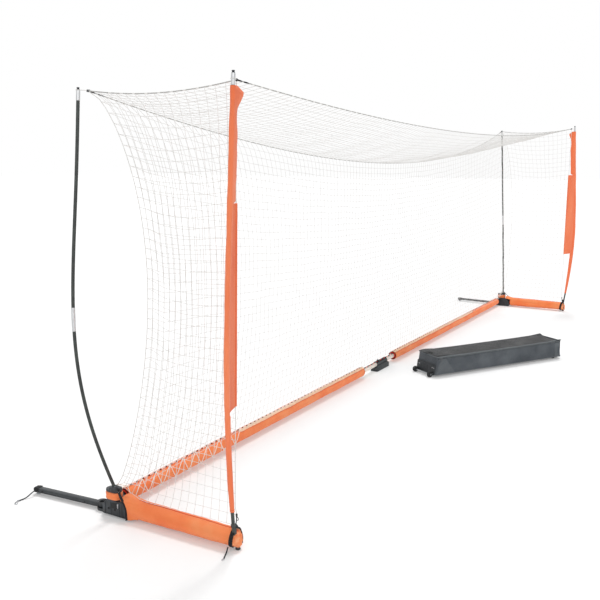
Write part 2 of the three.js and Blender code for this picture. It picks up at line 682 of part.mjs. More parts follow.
function addFrontEnd({ name, sign }) {
  const x = sign * HALF_WIDTH;
  const barBack = HUB_FRONT + BAR_SOCKET_DEPTH;
  const barFront = socketBack - BAR_SOCKET_DEPTH;
  const bar = plainRing(barBack - barFront, BAR_RADIUS, BAR_RADIUS - BAR_WALL);
  bar.translate(x, barFront, BAR_HEIGHT);
  addPiece(goal, `side_bar_${name}`, bar, colours.blackPlastic, 0.45, 0.3);

  const barBore = rodAlongY(x, BAR_HEIGHT, socketBack + 1, barFront - SEAT_GAP,
    BAR_RADIUS + SEAT_GAP);
  const [poleBore] = poleLengths(FRONT_BOW, sign, SEAT_GAP);
  const poleFootGap = post(sign * frontSocketX, FRONT_BOW.footY, POLE_FOOT_Z - POLE_RADIUS / 2,
    POLE_FOOT_Z + SEAT_GAP, POLE_RADIUS + SEAT_GAP);
  const socket = cut(join(...socketPieces(sign, 0)), barBore, poleBore, poleFootGap);
  addPiece(goal, `front_socket_${name}`, socket, colours.blackPlastic, 0.6);

  const padBack = HUB_FRONT - SIDE_PAD_HUB_GAP;
  const noseLength = SIDE_PAD_RADIUS * NOSE_FLATNESS;
  const noseBack = socketFront - SIDE_PAD_NOSE + noseLength;
  const nose = new THREE.SphereGeometry(SIDE_PAD_RADIUS, 16, 8);
  nose.scale(1, NOSE_FLATNESS, 1);
  nose.translate(x, noseBack, BAR_HEIGHT);
  const padShape = join(rodAlongY(x, BAR_HEIGHT, padBack, noseBack, SIDE_PAD_RADIUS), nose);
  const barHole = rodAlongY(x, BAR_HEIGHT, padBack + 1, socketBack - 1, BAR_RADIUS + PAD_BORE_GAP);
  const pad = cut(padShape, barHole, ...socketPieces(sign, PAD_BORE_GAP));
  addPiece(goal, `side_pad_${name}`, pad, colours.orange, 0.9);

  const strapInner = SIDE_PAD_RADIUS + SEAT_GAP;
  const strap = plainRing(STRAP_WIDTH, strapInner + STRAP_THICKNESS, strapInner);
  strap.translate(x, FRONT_BOW.footY + STRAP_BEHIND - STRAP_WIDTH / 2, BAR_HEIGHT);
  const tubeHole = post(sign * frontSocketX, FRONT_BOW.footY, BAR_HEIGHT, 2 * SOCKET_TUBE_TOP,
    SOCKET_TUBE_RADIUS + PAD_BORE_GAP);
  const footHole = post(x, FRONT_BOW.footY, -1, BAR_HEIGHT, SOCKET_FOOT_RADIUS + PAD_BORE_GAP);
  addPiece(goal, `tie_strap_${name}`, cut(strap, tubeHole, footHole), colours.blackWeb, 0.85);
}

function addRearPads() {
  const hubEnd = hubInnerX - REAR_PAD_HUB_GAP;
  const spans = {
    rear_pad_left: [-hubEnd, HINGE_X - LEFT_PAD_HINGE_GAP],
    rear_pad_right: [HINGE_X + RIGHT_PAD_HINGE_GAP, hubEnd],
  };
  for (const [name, [start, end]] of Object.entries(spans)) {
    const pad = paddedRing(end - start, REAR_PAD_RADIUS, BAR_RADIUS + PAD_BORE_GAP, PAD_ROUNDING);
    pad.rotateZ(-Math.PI / 2);
    pad.translate(start, 0, BAR_HEIGHT);
    addPiece(goal, name, pad, colours.orange, 0.9);
  }
}

// ---- Bow poles -----------------------------------------------------------------------

// Both lengths of a pole, lower first, made thicker by grow
function poleLengths(bow, sign, grow) {
  const radius = POLE_RADIUS + grow;
  const top = bow.tipZ - TIP_LENGTH - SEAT_GAP;
  return [
    tubeAlong(bowSection(bow, sign, POLE_FOOT_Z, POLE_SPLIT - SEAT_GAP), radius, POLE_STEPS),
    tubeAlong(bowSection(bow, sign, POLE_SPLIT, top), radius, POLE_STEPS),
  ];
}

// The space that a pole, its joint and its ferrule take up inside what goes round them
function poleSpace(bow, sign) {
  const joint = bowSection(bow, sign, POLE_SPLIT - BAR_WALL, POLE_SPLIT + BAR_WALL);
  return [...poleLengths(bow, sign, SEAT_GAP), tubeAlong(joint, POLE_RADIUS + SEAT_GAP, 1)];
}

function addBow(place, bow, { name, sign }) {
  const [lower, upper] = poleLengths(bow, sign, 0);
  addPiece(goal, `${place}_pole_lower_${name}`, lower, colours.pole, 0.4);
  addPiece(goal, `${place}_pole_upper_${name}`, upper, colours.pole, 0.4);

  const ferruleRoute = bowSection(bow, sign, ferruleBottom, ferruleTop);
  const ferrule = cut(tubeAlong(ferruleRoute, FERRULE_RADIUS + SEAT_GAP, 1, 12), ...poleSpace(bow, sign));
  addPiece(goal, `${place}_ferrule_${name}`, ferrule, colours.silver, 0.3, 1);

  const tip = tubeAlong(bowSection(bow, sign, bow.tipZ - TIP_LENGTH, bow.tipZ), FERRULE_RADIUS, 1, 12);
  const end = bowAtHeight(bow, sign, bow.tipZ);
  const cap = post(end.x, end.y, bow.tipZ - TIP_CAP / 2, bow.tipZ + TIP_CAP / 2, POLE_RADIUS - 1, 12);
  addPiece(goal, `${place}_tip_${name}`, join(tip, cap), colours.silver, 0.3, 1);
}

// From a point on a front pole to the mouth rope at the same height
function toMouthRope(sign, pole) {
  const rope = mouthEdge(sign, (frontTopZ - pole.z) / (frontTopZ - mouthFoot[2]));
  return rope.sub(pole);
}

function addSleeve({ name, sign }) {
  const top = FRONT_BOW.tipZ - TIP_LENGTH - 2 * SEAT_GAP;
  const skin = tubeAlong(bowSection(FRONT_BOW, sign, SLEEVE_BOTTOM, top), SLEEVE_RADIUS, 12, 10);
  const ferruleRoute = bowSection(FRONT_BOW, sign, ferruleBottom - SEAT_GAP, ferruleTop + SEAT_GAP);
  const ferruleSpace = tubeAlong(ferruleRoute, FERRULE_RADIUS + 2 * SEAT_GAP, 1, 12);
  const ropeDistance = ROPE_RADIUS + SEAT_GAP;
  const banner = sheetSolid((u, v) => {
    const z = lerp(BANNER_BOTTOM, BANNER_TOP, v);
    const pole = bowAtHeight(FRONT_BOW, sign, z);
    const span = toMouthRope(sign, pole);
    const reach = span.length() - ropeDistance;
    return pole.addScaledVector(span.normalize(), u * reach);
  }, BANNER_THICKNESS, evenStations(1), evenStations(BANNER_STEPS));
  const fin = sheetSolid((u, v) => {
    const pole = bowAtHeight(FRONT_BOW, sign, lerp(BANNER_TOP - 1, top - FERRULE_RADIUS, v));
    return pole.addScaledVector(toMouthRope(sign, pole).normalize(), u * SLEEVE_FIN);
  }, BANNER_THICKNESS, evenStations(1), evenStations(BANNER_STEPS));
  const sleeve = cut(join(skin, banner, fin), ...poleSpace(FRONT_BOW, sign), ferruleSpace);
  addPiece(goal, `front_sleeve_${name}`, sleeve, colours.orange, 0.9);
}

// ---- Net and border rope -------------------------------------------------------------

// Rear panel: u from left to right, v from top to bottom. Its ends follow the drawn-in corners.
function rearPanel(u, v) {
  const left = rearCorner(-1, v);
  const right = rearCorner(1, v);
  const top = rearTop(u);
  const ends = 1 - Math.sin(Math.PI * u) ** 0.7;
  const pulled = lerp(left.y, right.y, u) - lerp(REAR_CORNER.y, netFootY, v);
  const y = lerp(top.y, netFootY * ends, v) + pulled * ends;
  const rise = footRise(2 * netFootX * Math.min(u, 1 - u));
  const footZ = lerp(netRearFootZ, netFootZ, rise);
  return new THREE.Vector3(lerp(left.x, right.x, u), y, lerp(top.z, footZ, v));
}

// Top panel: u from left to right, v from front to rear
function topPanel(u, v) {
  const point = frontTop(u).lerp(rearTop(u), v);
  point.z -= SIDE_SAG * 4 * v * (1 - v);
  return point;
}

// Side panel: u from front to rear, v from top to bottom
function sidePanel(sign, u, v) {
  const slant = (frontTopZ - netFrontFootZ) / (frontTopZ - mouthFoot[2]);
  const point = mouthEdge(sign, v * slant).lerp(rearCorner(sign, v), u);
  const rise = footRise((netFootY - FRONT_CORNER.y) * (1 - u));
  point.z -= SIDE_SAG * 4 * u * (1 - u) * (1 - v);
  point.z -= (netFootZ - netFrontFootZ) * (u - rise) * v;
  return point;
}

// Strips across a panel in both ways, with openings between them
function netPanel(place, across, down, insets) {
  const width = place(0, 0).distanceTo(place(1, 0));
  const height = place(0, 0).distanceTo(place(0, 1));
  const uStations = bandStations(width, across.bays, across.steps, NET_BAND);
  const vStations = bandStations(height, down.bays, down.steps, NET_BAND);
  const isOpen = (i, j) => i % (across.steps + 1) > 0 && j % (down.steps + 1) > 0;
  return sheetSolid(place, NET_THICKNESS, uStations, vStations, insets, isOpen);
}

function addNet() {
  const edge = ROPE_RADIUS + SEAT_GAP;
  const rim = [edge, edge, edge + NET_THICKNESS, 0];
  const panels = [
    ['net_rear', rearPanel, NET_LENGTH, NET_DROP, rim],
    ['net_top', topPanel, NET_LENGTH, NET_DEPTH, [edge, edge, edge, edge]],
    ['net_left', (u, v) => sidePanel(-1, u, v), NET_DEPTH, NET_DROP, rim],
    ['net_right', (u, v) => sidePanel(1, u, v), NET_DEPTH, NET_DROP, rim],
  ];
  for (const [name, place, across, down, insets] of panels) {
    addPiece(goal, name, netPanel(place, across, down, insets), colours.net, 0.9);
  }
}

function ropeBetween(points, steps = 1) {
  const pieces = [];
  for (let i = 0; i + 1 < points.length; i += 1) {
    const start = new THREE.Vector3(...points[i]);
    const end = new THREE.Vector3(...points[i + 1]);
    pieces.push(tubeAlong(new THREE.LineCurve3(start, end), ROPE_RADIUS, steps, 6));
    const knot = new THREE.SphereGeometry(ROPE_RADIUS, 6, 4);
    knot.translate(start.x, start.y, start.z);
    pieces.push(knot);
  }
  return pieces;
}

function addRope() {
  const pieces = [];
  const [lengthSteps, dropSteps, depthSteps] = [NET_LENGTH, NET_DROP, NET_DEPTH]
    .map(({ bays, steps }) => bays * steps);
  pieces.push(tubeAlong(new Route(frontTop), ROPE_RADIUS, lengthSteps, 6));
  pieces.push(tubeAlong(new Route(rearTop), ROPE_RADIUS, lengthSteps, 6));
  for (const { sign } of sides) {
    pieces.push(tubeAlong(new Route((v) => sideTop(sign, v)), ROPE_RADIUS, depthSteps, 6));
    pieces.push(tubeAlong(new Route((t) => rearCorner(sign, t)), ROPE_RADIUS, dropSteps, 6));
    const frontCorner = frontTop(sign > 0 ? 1 : 0);
    const rearCornerPoint = rearTop(sign > 0 ? 1 : 0);
    const [footPoint, tiePoint] = [mouthFoot, mouthTie].map(([x, y, z]) => [sign * x, y, z]);
    pieces.push(...ropeBetween([frontCorner.toArray(), footPoint, tiePoint]));
    const tieReach = FERRULE_RADIUS + ROPE_RADIUS + SEAT_GAP;
    for (const [corner, bow] of [[frontCorner, FRONT_BOW], [rearCornerPoint, REAR_BOW]]) {
      const tip = bowAtHeight(bow, sign, corner.z);
      const span = tip.clone().sub(corner);
      const end = corner.clone().addScaledVector(span.clone().normalize(), span.length() - tieReach);
      pieces.push(...ropeBetween([corner.toArray(), end.toArray()]));
    }
  }
  addPiece(goal, 'net_rope', join(...pieces), colours.rope, 0.85);
}

// ---- Cords that lie on the ground ----------------------------------------------------

function addGroundCords({ name, sign }) {
  const mirror = (route) => route.map(([x, y, z]) => [sign * x, y, z]);
  const tether = tubeAlong(smoothRoute(mirror(TETHER_ROUTE)), TETHER_RADIUS, 16, 8);
  addPiece(goal, `leg_tether_${name}`, tether, colours.blackWeb, 0.85);
  const tail = tubeAlong(smoothRoute(mirror(TAIL_ROUTE)), TAIL_RADIUS, 16, 8);
  addPiece(goal, `strap_tail_${name}`, tail, colours.blackWeb, 0.85);

  const [endX, endY, endZ] = TETHER_ROUTE[TETHER_ROUTE.length - 1];
  const ferrule = rodAlongX(endY, HOOK_FERRULE_RADIUS, sign * (endX + SEAT_GAP),
    sign * (endX + HOOK_FERRULE_LENGTH), HOOK_FERRULE_RADIUS, 12);
  const bend = mirror(HOOK_BEND.map(([x, y, z]) => [endX + x, endY + y, endZ + z]));
  const hook = join(ferrule, tubeAlong(smoothRoute(bend), HOOK_WIRE_RADIUS, 14, 8));
  addPiece(goal, `tether_hook_${name}`, hook, colours.steel, 0.35, 0.9);
}

// ---- Carry bag -----------------------------------------------------------------------

function addBag() {
  const endX = BAG_LENGTH / 2;
  const sideY = BAG_WIDTH / 2;
  const shell = boxBetween([-endX, -sideY, BAG_FLOOR], [endX, sideY, BAG_RIM]);
  const hollow = boxBetween(
    [-endX + BAG_WALL, -sideY + BAG_WALL, BAG_FLOOR + BAG_WALL],
    [endX - BAG_WALL, sideY - BAG_WALL, BAG_RIM + 1],
  );
  const feet = [1, -1].map((side) => post(endX - BAG_FOOT_INSET, side * (sideY - BAG_FOOT_SIDE_INSET),
    0, BAG_FLOOR + 1, BAG_FOOT_RADIUS));
  addPiece(bag, 'bag_body', cut(join(shell, ...feet), hollow), colours.bag, 0.85);

  const lidBottom = BAG_RIM + SEAT_GAP;
  const lid = boxBetween([-endX, -sideY, lidBottom], [endX, sideY, lidBottom + LID_THICKNESS]);
  addPiece(bag, 'bag_lid', lid, colours.bag, 0.85);

  const plateX = -endX - SEAT_GAP;
  const axleX = -endX - AXLE_BACK;
  const axleBore = AXLE_RADIUS + SEAT_GAP;
  const plateHalf = sideY - PLATE_INSET;
  const wheelY = sideY - WHEEL_INSET;
  const plateParts = [
    boxBetween([plateX - PLATE_THICKNESS, -plateHalf, BAG_FLOOR], [plateX, plateHalf, PLATE_TOP]),
  ];
  const lugOuter = WHEEL_WIDTH / 2 + RUNNING_GAP;
  for (const side of [-1, 1]) {
    for (const lugSide of [-1, 1]) {
      const inner = side * wheelY + lugSide * lugOuter;
      const outer = inner + lugSide * AXLE_LUG_WIDTH;
      const low = Math.min(inner, outer);
      const high = Math.max(inner, outer);
      plateParts.push(boxBetween(
        [axleX, low, WHEEL_RADIUS - AXLE_LUG_RADIUS],
        [plateX - 1, high, WHEEL_RADIUS + AXLE_LUG_RADIUS],
      ));
      plateParts.push(rodAlongY(axleX, WHEEL_RADIUS, low, high, AXLE_LUG_RADIUS, 12));
    }
  }
  const axleHalf = wheelY + lugOuter + AXLE_LUG_WIDTH + 1;
  const axleHole = rodAlongY(axleX, WHEEL_RADIUS, -axleHalf - 1, axleHalf + 1, axleBore);
  const wheelWells = [-1, 1].map((side) => rodAlongY(axleX, WHEEL_RADIUS,
    side * wheelY - lugOuter, side * wheelY + lugOuter, WHEEL_RADIUS + WHEEL_WELL_GAP, 20));
  const plate = cut(join(...plateParts), axleHole, ...wheelWells);
  addPiece(bag, 'bag_end_plate', plate, colours.blackPlastic, 0.6);

  const axle = rodAlongY(axleX, WHEEL_RADIUS, -axleHalf, axleHalf, AXLE_RADIUS);
  addPiece(bag, 'bag_axle', axle, colours.steel, 0.3, 1);
  for (const { name, sign } of sides) {
    const wheel = plainRing(WHEEL_WIDTH, WHEEL_RADIUS, axleBore, 24);
    wheel.translate(axleX, sign * wheelY - WHEEL_WIDTH / 2, WHEEL_RADIUS);
    addPiece(bag, `bag_wheel_${name}`, wheel, colours.rubber, 0.8);
  }

  const halfHandle = HANDLE_WIDTH / 2;
  const handleX = endX + SEAT_GAP;
  const outerLoop = boxBetween(
    [handleX, -halfHandle, HANDLE_TOP - HANDLE_DROP],
    [handleX + HANDLE_THICKNESS, halfHandle, HANDLE_TOP],
  );
  const grip = boxBetween(
    [handleX - 1, -halfHandle + HANDLE_WEB, HANDLE_TOP - HANDLE_DROP + HANDLE_WEB],
    [handleX + HANDLE_THICKNESS + 1, halfHandle - HANDLE_WEB, HANDLE_TOP + 1],
  );
  addPiece(bag, 'bag_handle', cut(outerLoop, grip), colours.blackWeb, 0.85);

  const [sliderLength, sliderDepth, sliderHeight] = SLIDER_SIZE;
  const [pullWidth, pullThickness, pullLength] = PULL_SIZE;
  const sliderX = -endX + SLIDER_START;
  const sliderBack = -sideY - SEAT_GAP;
  const sliderTop = BAG_RIM - SLIDER_DROP;
  const pullX = sliderX + (sliderLength - pullWidth) / 2;
  const pullTop = sliderTop - sliderHeight;
  const slider = boxBetween(
    [sliderX, sliderBack - sliderDepth, sliderTop - sliderHeight],
    [sliderX + sliderLength, sliderBack, sliderTop],
  );
  const pull = boxBetween(
    [pullX, sliderBack - sliderDepth, pullTop - pullLength],
    [pullX + pullWidth, sliderBack - sliderDepth + pullThickness, pullTop + 1],
  );
  addPiece(bag, 'zip_slider', join(slider, pull), colours.steel, 0.4, 0.8);
}

addRearBars();
addRearPads();
for (const side of sides) {
  addHub(side);
  addLeg(side);
  addFrontEnd(side);
  addBow('rear', REAR_BOW, side);
  addBow('front', FRONT_BOW, side);
  addSleeve(side);
  addGroundCords(side);
}
addNet();
addRope();
addBag();

export default goal;
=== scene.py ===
"""Dressed model of a fold-up bow-frame soccer goal and its wheeled carry bag.

Metres, +Z up. X runs along the rear base bar and +Y points behind the goal.
"""
import math
import bmesh
import bpy
from mathutils import Matrix, Vector, noise


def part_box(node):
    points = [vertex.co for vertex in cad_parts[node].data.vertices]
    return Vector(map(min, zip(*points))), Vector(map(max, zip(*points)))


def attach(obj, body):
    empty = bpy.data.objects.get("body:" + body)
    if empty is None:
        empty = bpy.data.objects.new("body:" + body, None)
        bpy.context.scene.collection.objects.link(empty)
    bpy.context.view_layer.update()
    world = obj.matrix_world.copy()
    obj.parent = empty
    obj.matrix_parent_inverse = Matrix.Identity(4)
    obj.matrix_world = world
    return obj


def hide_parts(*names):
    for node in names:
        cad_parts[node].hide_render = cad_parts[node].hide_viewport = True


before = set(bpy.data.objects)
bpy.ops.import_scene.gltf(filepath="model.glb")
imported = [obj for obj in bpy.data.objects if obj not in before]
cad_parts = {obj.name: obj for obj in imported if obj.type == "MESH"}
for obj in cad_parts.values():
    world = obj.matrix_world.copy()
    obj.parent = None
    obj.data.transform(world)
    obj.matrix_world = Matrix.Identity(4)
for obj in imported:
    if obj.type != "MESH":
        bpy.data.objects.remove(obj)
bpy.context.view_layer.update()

SIDES = (("left", -1), ("right", 1))
UP = Vector((0, 0, 1))


def mm(*values):
    """Millimetres to metres, as a vector when there are three of them."""
    scaled = [value / 1000 for value in values]
    return Vector(scaled) if len(scaled) == 3 else scaled[0]


def in_mm(*pairs):
    """Pairs of millimetres to pairs of metres."""
    return [(first / 1000, second / 1000) for first, second in pairs]


def circle(count):
    """Cosine and sine of evenly spaced angles round a full turn."""
    angles = [2 * math.pi * index / count for index in range(count)]
    return [(math.cos(angle), math.sin(angle)) for angle in angles]


def middle(node):
    low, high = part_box(node)
    return (Vector(low) + Vector(high)) / 2


def extent(node):
    low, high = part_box(node)
    return Vector(high) - Vector(low)


# ---- Sizes ---------------------------------------------------------------------------

HALF_WIDTH = middle("side_bar_right").x
BAR_Z = middle("side_bar_right").z
BAR_RADIUS = extent("side_bar_right").x / 2
REAR_PAD_RADIUS = extent("rear_pad_right").z / 2
SIDE_PAD_RADIUS = extent("side_pad_right").x / 2
GOAL_DEPTH = mm(732)
SOCKET_OUT = mm(15)              # the front sockets' upright tubes stand outside the side bars
POLE_FOOT_Z = mm(60)
POLE_SPLIT = mm(979)
POLE_RADIUS = mm(8)
NET_HEIGHT = mm(1989)
FRONT_TOP_Z = NET_HEIGHT + mm(14)
BOW_SKEW = 0.2
REAR_BOW = dict(foot_out=0, foot_y=mm(-60), tip_out=mm(40), tip_y=mm(54),
                tip_z=NET_HEIGHT + mm(6), out=mm(135), back=mm(36))
FRONT_BOW = dict(foot_out=SOCKET_OUT, foot_y=-GOAL_DEPTH, tip_out=0, tip_y=-GOAL_DEPTH - mm(20),
                 tip_z=NET_HEIGHT + mm(40), out=mm(108), back=mm(-42))
FRONT_CORNER_X = HALF_WIDTH - mm(52)
FRONT_CORNER_Y = mm(2) - GOAL_DEPTH
REAR_CORNER_X = HALF_WIDTH - mm(9)
REAR_CORNER_Y = mm(44)
NET_REAR_FOOT_Z = BAR_Z + REAR_PAD_RADIUS + mm(1)
NET_FRONT_FOOT_Z = BAR_Z + SIDE_PAD_RADIUS + mm(2)
FRONT_SAG = mm(135)
REAR_SAG = mm(335)
SIDE_SAG = mm(30)
REAR_TOP_PULL = mm(105)
CORNER_PULL_X = mm(138)
CORNER_PULL_Y = mm(153)
CORNER_SKEW = 0.81
CORNER_FULLNESS = 0.73
MOUTH_FOOT = mm(3184.2, -717.6, 190)
MESH = mm(50)
TWINE = mm(1.1)

BAG_TURN = math.radians(-32.2)
BAG_CENTRE = mm(492, -741, 0)
BAG_HALF_LENGTH = mm(668)
BAG_HALF_WIDTH = mm(125)
BAG_FLOOR = mm(14)
BAG_RIM = mm(158)


# ---- Camera and stage ----------------------------------------------------------------

def add_camera():
    data = bpy.data.cameras.new("camera")
    data.sensor_width = 36
    data.lens = 47.484
    data.clip_end = 100
    camera = bpy.data.objects.new("camera", data)
    camera.location = (-5.852, -2.609, 1.693)
    camera.rotation_euler = (math.radians(90 - 10.16), 0, math.radians(-59.65))
    bpy.context.scene.collection.objects.link(camera)
    bpy.context.scene.camera = camera


def add_sun(name, direction, strength, spread):
    data = bpy.data.lights.new(name, "SUN")
    data.energy = strength
    data.angle = math.radians(spread)
    sun = bpy.data.objects.new(name, data)
    sun.rotation_euler = Vector(direction).to_track_quat("-Z", "Y").to_euler()
    bpy.context.scene.collection.objects.link(sun)


def seen_by_eye(tree):
    """A factor that is 1 for what the camera, a mirror or a glass sees, and 0 for lighting."""
    path = tree.nodes.new("ShaderNodeLightPath")
    total = path.outputs["Is Camera Ray"]
    for ray in ("Is Glossy Ray", "Is Transmission Ray"):
        join = tree.nodes.new("ShaderNodeMath")
        join.operation = "MAXIMUM"
        tree.links.new(total, join.inputs[0])
        tree.links.new(path.outputs[ray], join.inputs[1])
        total = join.outputs[0]
    return total


def add_world():
    world = bpy.data.worlds.new("studio")
    bpy.context.scene.world = world
    world.use_nodes = True
    tree = world.node_tree
    fill = tree.nodes["Background"]
    fill.inputs["Color"].default_value = (1, 1, 1, 1)
    fill.inputs["Strength"].default_value = 0.6
    white = tree.nodes.new("ShaderNodeBackground")
    white.inputs["Color"].default_value = (1, 1, 1, 1)
    mix = tree.nodes.new("ShaderNodeMixShader")
    tree.links.new(seen_by_eye(tree), mix.inputs[0])
    tree.links.new(fill.outputs[0], mix.inputs[1])
    tree.links.new(white.outputs[0], mix.inputs[2])
    tree.links.new(mix.outputs[0], tree.nodes["World Output"].inputs["Surface"])


def add_floor():
    mesh = bpy.data.meshes.new("floor")
    reach = 60
    corners = [(x * reach, y * reach, mm(-0.5)) for x, y in ((-1, -1), (1, -1), (1, 1), (-1, 1))]
    mesh.from_pydata(corners, [], [(0, 1, 2, 3)])
    floor = bpy.data.objects.new("floor", mesh)
    bpy.context.scene.collection.objects.link(floor)
    look = bpy.data.materials.new("floor")
    look.use_nodes = True
    tree = look.node_tree
    paint = tree.nodes["Principled BSDF"]
    paint.inputs["Base Color"].default_value = (0.97, 0.97, 0.97, 1)
    paint.inputs["Roughness"].default_value = 1
    paint.inputs["Specular IOR Level"].default_value = 0
    glow = tree.nodes.new("ShaderNodeEmission")
    glow.inputs["Strength"].default_value = 1
    share = tree.nodes.new("ShaderNodeMath")
    share.operation = "MULTIPLY"
    share.inputs[1].default_value = 0.2
    mix = tree.nodes.new("ShaderNodeMixShader")
    tree.links.new(seen_by_eye(tree), share.inputs[0])
    tree.links.new(share.outputs[0], mix.inputs[0])
    tree.links.new(paint.outputs[0], mix.inputs[1])
    tree.links.new(glow.outputs[0], mix.inputs[2])
    tree.links.new(mix.outputs[0], tree.nodes["Material Output"].inputs["Surface"])
    mesh.materials.append(look)


bpy.context.scene.view_settings.view_transform = "Standard"
add_camera()
add_world()
add_sun("key", (-0.4, -0.08, -1), 1.6, 14)
add_sun("front", (0.75, 0.55, -0.42), 0.6, 60)
add_floor()


# ---- Materials -----------------------------------------------------------------------

def srgb(red, green, blue):
    """A screen colour from 0 to 255 as linear light."""
    def linear(value):
        share = value / 255
        return share / 12.92 if share <= 0.04045 else ((share + 0.055) / 1.055) ** 2.4
    return (linear(red), linear(green), linear(blue), 1)


class Look:
    """A node material built up from a few procedural layers."""

    def __init__(self, name, roughness, metallic=0, specular=0.5):
        self.material = bpy.data.materials.new(name)
        self.material.use_nodes = True
        self.tree = self.material.node_tree
        self.shader = self.tree.nodes["Principled BSDF"]
        self.shader.inputs["Roughness"].default_value = roughness
        self.shader.inputs["Metallic"].default_value = metallic
        self.shader.inputs["Specular IOR Level"].default_value = specular
        self.place = self.tree.nodes.new("ShaderNodeTexCoord").outputs["Object"]
        self.height = None

    def node(self, kind, **settings):
        made = self.tree.nodes.new(kind)
        for key, value in settings.items():
            setattr(made, key, value)
        return made

    def stretched(self, scale):
        mapping = self.node("ShaderNodeMapping")
        mapping.inputs["Scale"].default_value = scale
        self.tree.links.new(self.place, mapping.inputs["Vector"])
        return mapping.outputs[0]

    def cloud(self, size, detail=3, stretch=(1, 1, 1)):
        """Soft noise whose blotches are about size metres across."""
        texture = self.node("ShaderNodeTexNoise")
        texture.inputs["Scale"].default_value = 1 / size
        texture.inputs["Detail"].default_value = detail
        self.tree.links.new(self.stretched(stretch), texture.inputs["Vector"])
        return texture.outputs["Fac"]

    def bands(self, pitch, axis, distortion=0.0):
        texture = self.node("ShaderNodeTexWave", wave_type="BANDS", bands_direction=axis)
        texture.inputs["Scale"].default_value = math.pi / (10 * pitch)
        texture.inputs["Distortion"].default_value = distortion
        self.tree.links.new(self.place, texture.inputs["Vector"])
        return texture.outputs["Fac"]

    def tint(self, factor, *colours):
        """Colours the surface by a factor, evenly from the first screen colour to the last."""
        ramp = self.node("ShaderNodeValToRGB")
        stops = ramp.color_ramp.elements
        stops[0].position, stops[1].position = 0.3, 0.7
        stops[0].color, stops[1].color = srgb(*colours[0]), srgb(*colours[-1])
        for index, colour in enumerate(colours[1:-1], 1):
            stops.new(0.3 + 0.4 * index / (len(colours) - 1)).color = srgb(*colour)
        self.tree.links.new(factor, ramp.inputs[0])
        self.tree.links.new(ramp.outputs[0], self.shader.inputs["Base Color"])

    def vary_roughness(self, factor, low, high):
        spread = self.node("ShaderNodeMapRange")
        spread.inputs["To Min"].default_value = low
        spread.inputs["To Max"].default_value = high
        self.tree.links.new(factor, spread.inputs[0])
        self.tree.links.new(spread.outputs[0], self.shader.inputs["Roughness"])

    def bump(self, factor, depth, strength=1.0):
        """Adds relief of that depth in metres on top of any earlier relief."""
        node = self.node("ShaderNodeBump")
        node.inputs["Distance"].default_value = depth
        node.inputs["Strength"].default_value = strength
        if self.height:
            self.tree.links.new(self.height, node.inputs["Normal"])
        self.tree.links.new(factor, node.inputs["Height"])
        self.height = node.outputs[0]
        self.tree.links.new(self.height, self.shader.inputs["Normal"])

    def weave(self, pitch, depth):
        for axis in "XYZ":
            self.bump(self.bands(pitch, axis, 0.4), depth)


def fabric(name, colours, weave=0.0016, wrinkle=0.0015, stretch=(1, 1, 1), sheen=0.15, blotch=0.14):
    look = Look(name, 0.85, specular=0.25)
    look.tint(look.cloud(blotch, 5, stretch), *colours)
    look.bump(look.cloud(0.05, 4, stretch), wrinkle, 0.6)
    look.weave(weave, 0.00025)
    look.vary_roughness(look.cloud(0.02), 0.74, 0.95)
    look.shader.inputs["Sheen Weight"].default_value = sheen
    return look.material


def plastic(name, dark, light, roughness=0.5, grain=0.0008):
    look = Look(name, roughness)
    look.tint(look.cloud(0.03, 6), dark, light)
    look.bump(look.cloud(grain, 2), 0.00012, 0.7)
    look.vary_roughness(look.cloud(0.015, 4), roughness - 0.1, roughness + 0.15)
    return look.material


def metal(name, dark, light, roughness=0.32, stretch=(1, 1, 1)):
    look = Look(name, roughness, metallic=1)
    look.tint(look.cloud(0.004, 4, stretch), dark, light)
    look.bump(look.cloud(0.0012, 3, stretch), 0.00006, 0.6)
    look.vary_roughness(look.cloud(0.006, 3, stretch), roughness - 0.08, roughness + 0.14)
    return look.material


def webbing(name, dark, light):
    look = Look(name, 0.8, specular=0.3)
    look.tint(look.cloud(0.008, 4), dark, light)
    for axis in "XYZ":
        look.bump(look.bands(0.0022, axis, 0.3), 0.0004)
    look.vary_roughness(look.cloud(0.01), 0.7, 0.92)
    return look.material


def cord_look(name, dark, light, roughness=0.8):
    look = Look(name, roughness, specular=0.25)
    look.tint(look.cloud(0.01, 4), dark, light)
    look.bump(look.cloud(0.0025, 3), 0.0004, 0.8)
    look.vary_roughness(look.cloud(0.01), roughness - 0.1, roughness + 0.1)
    return look.material


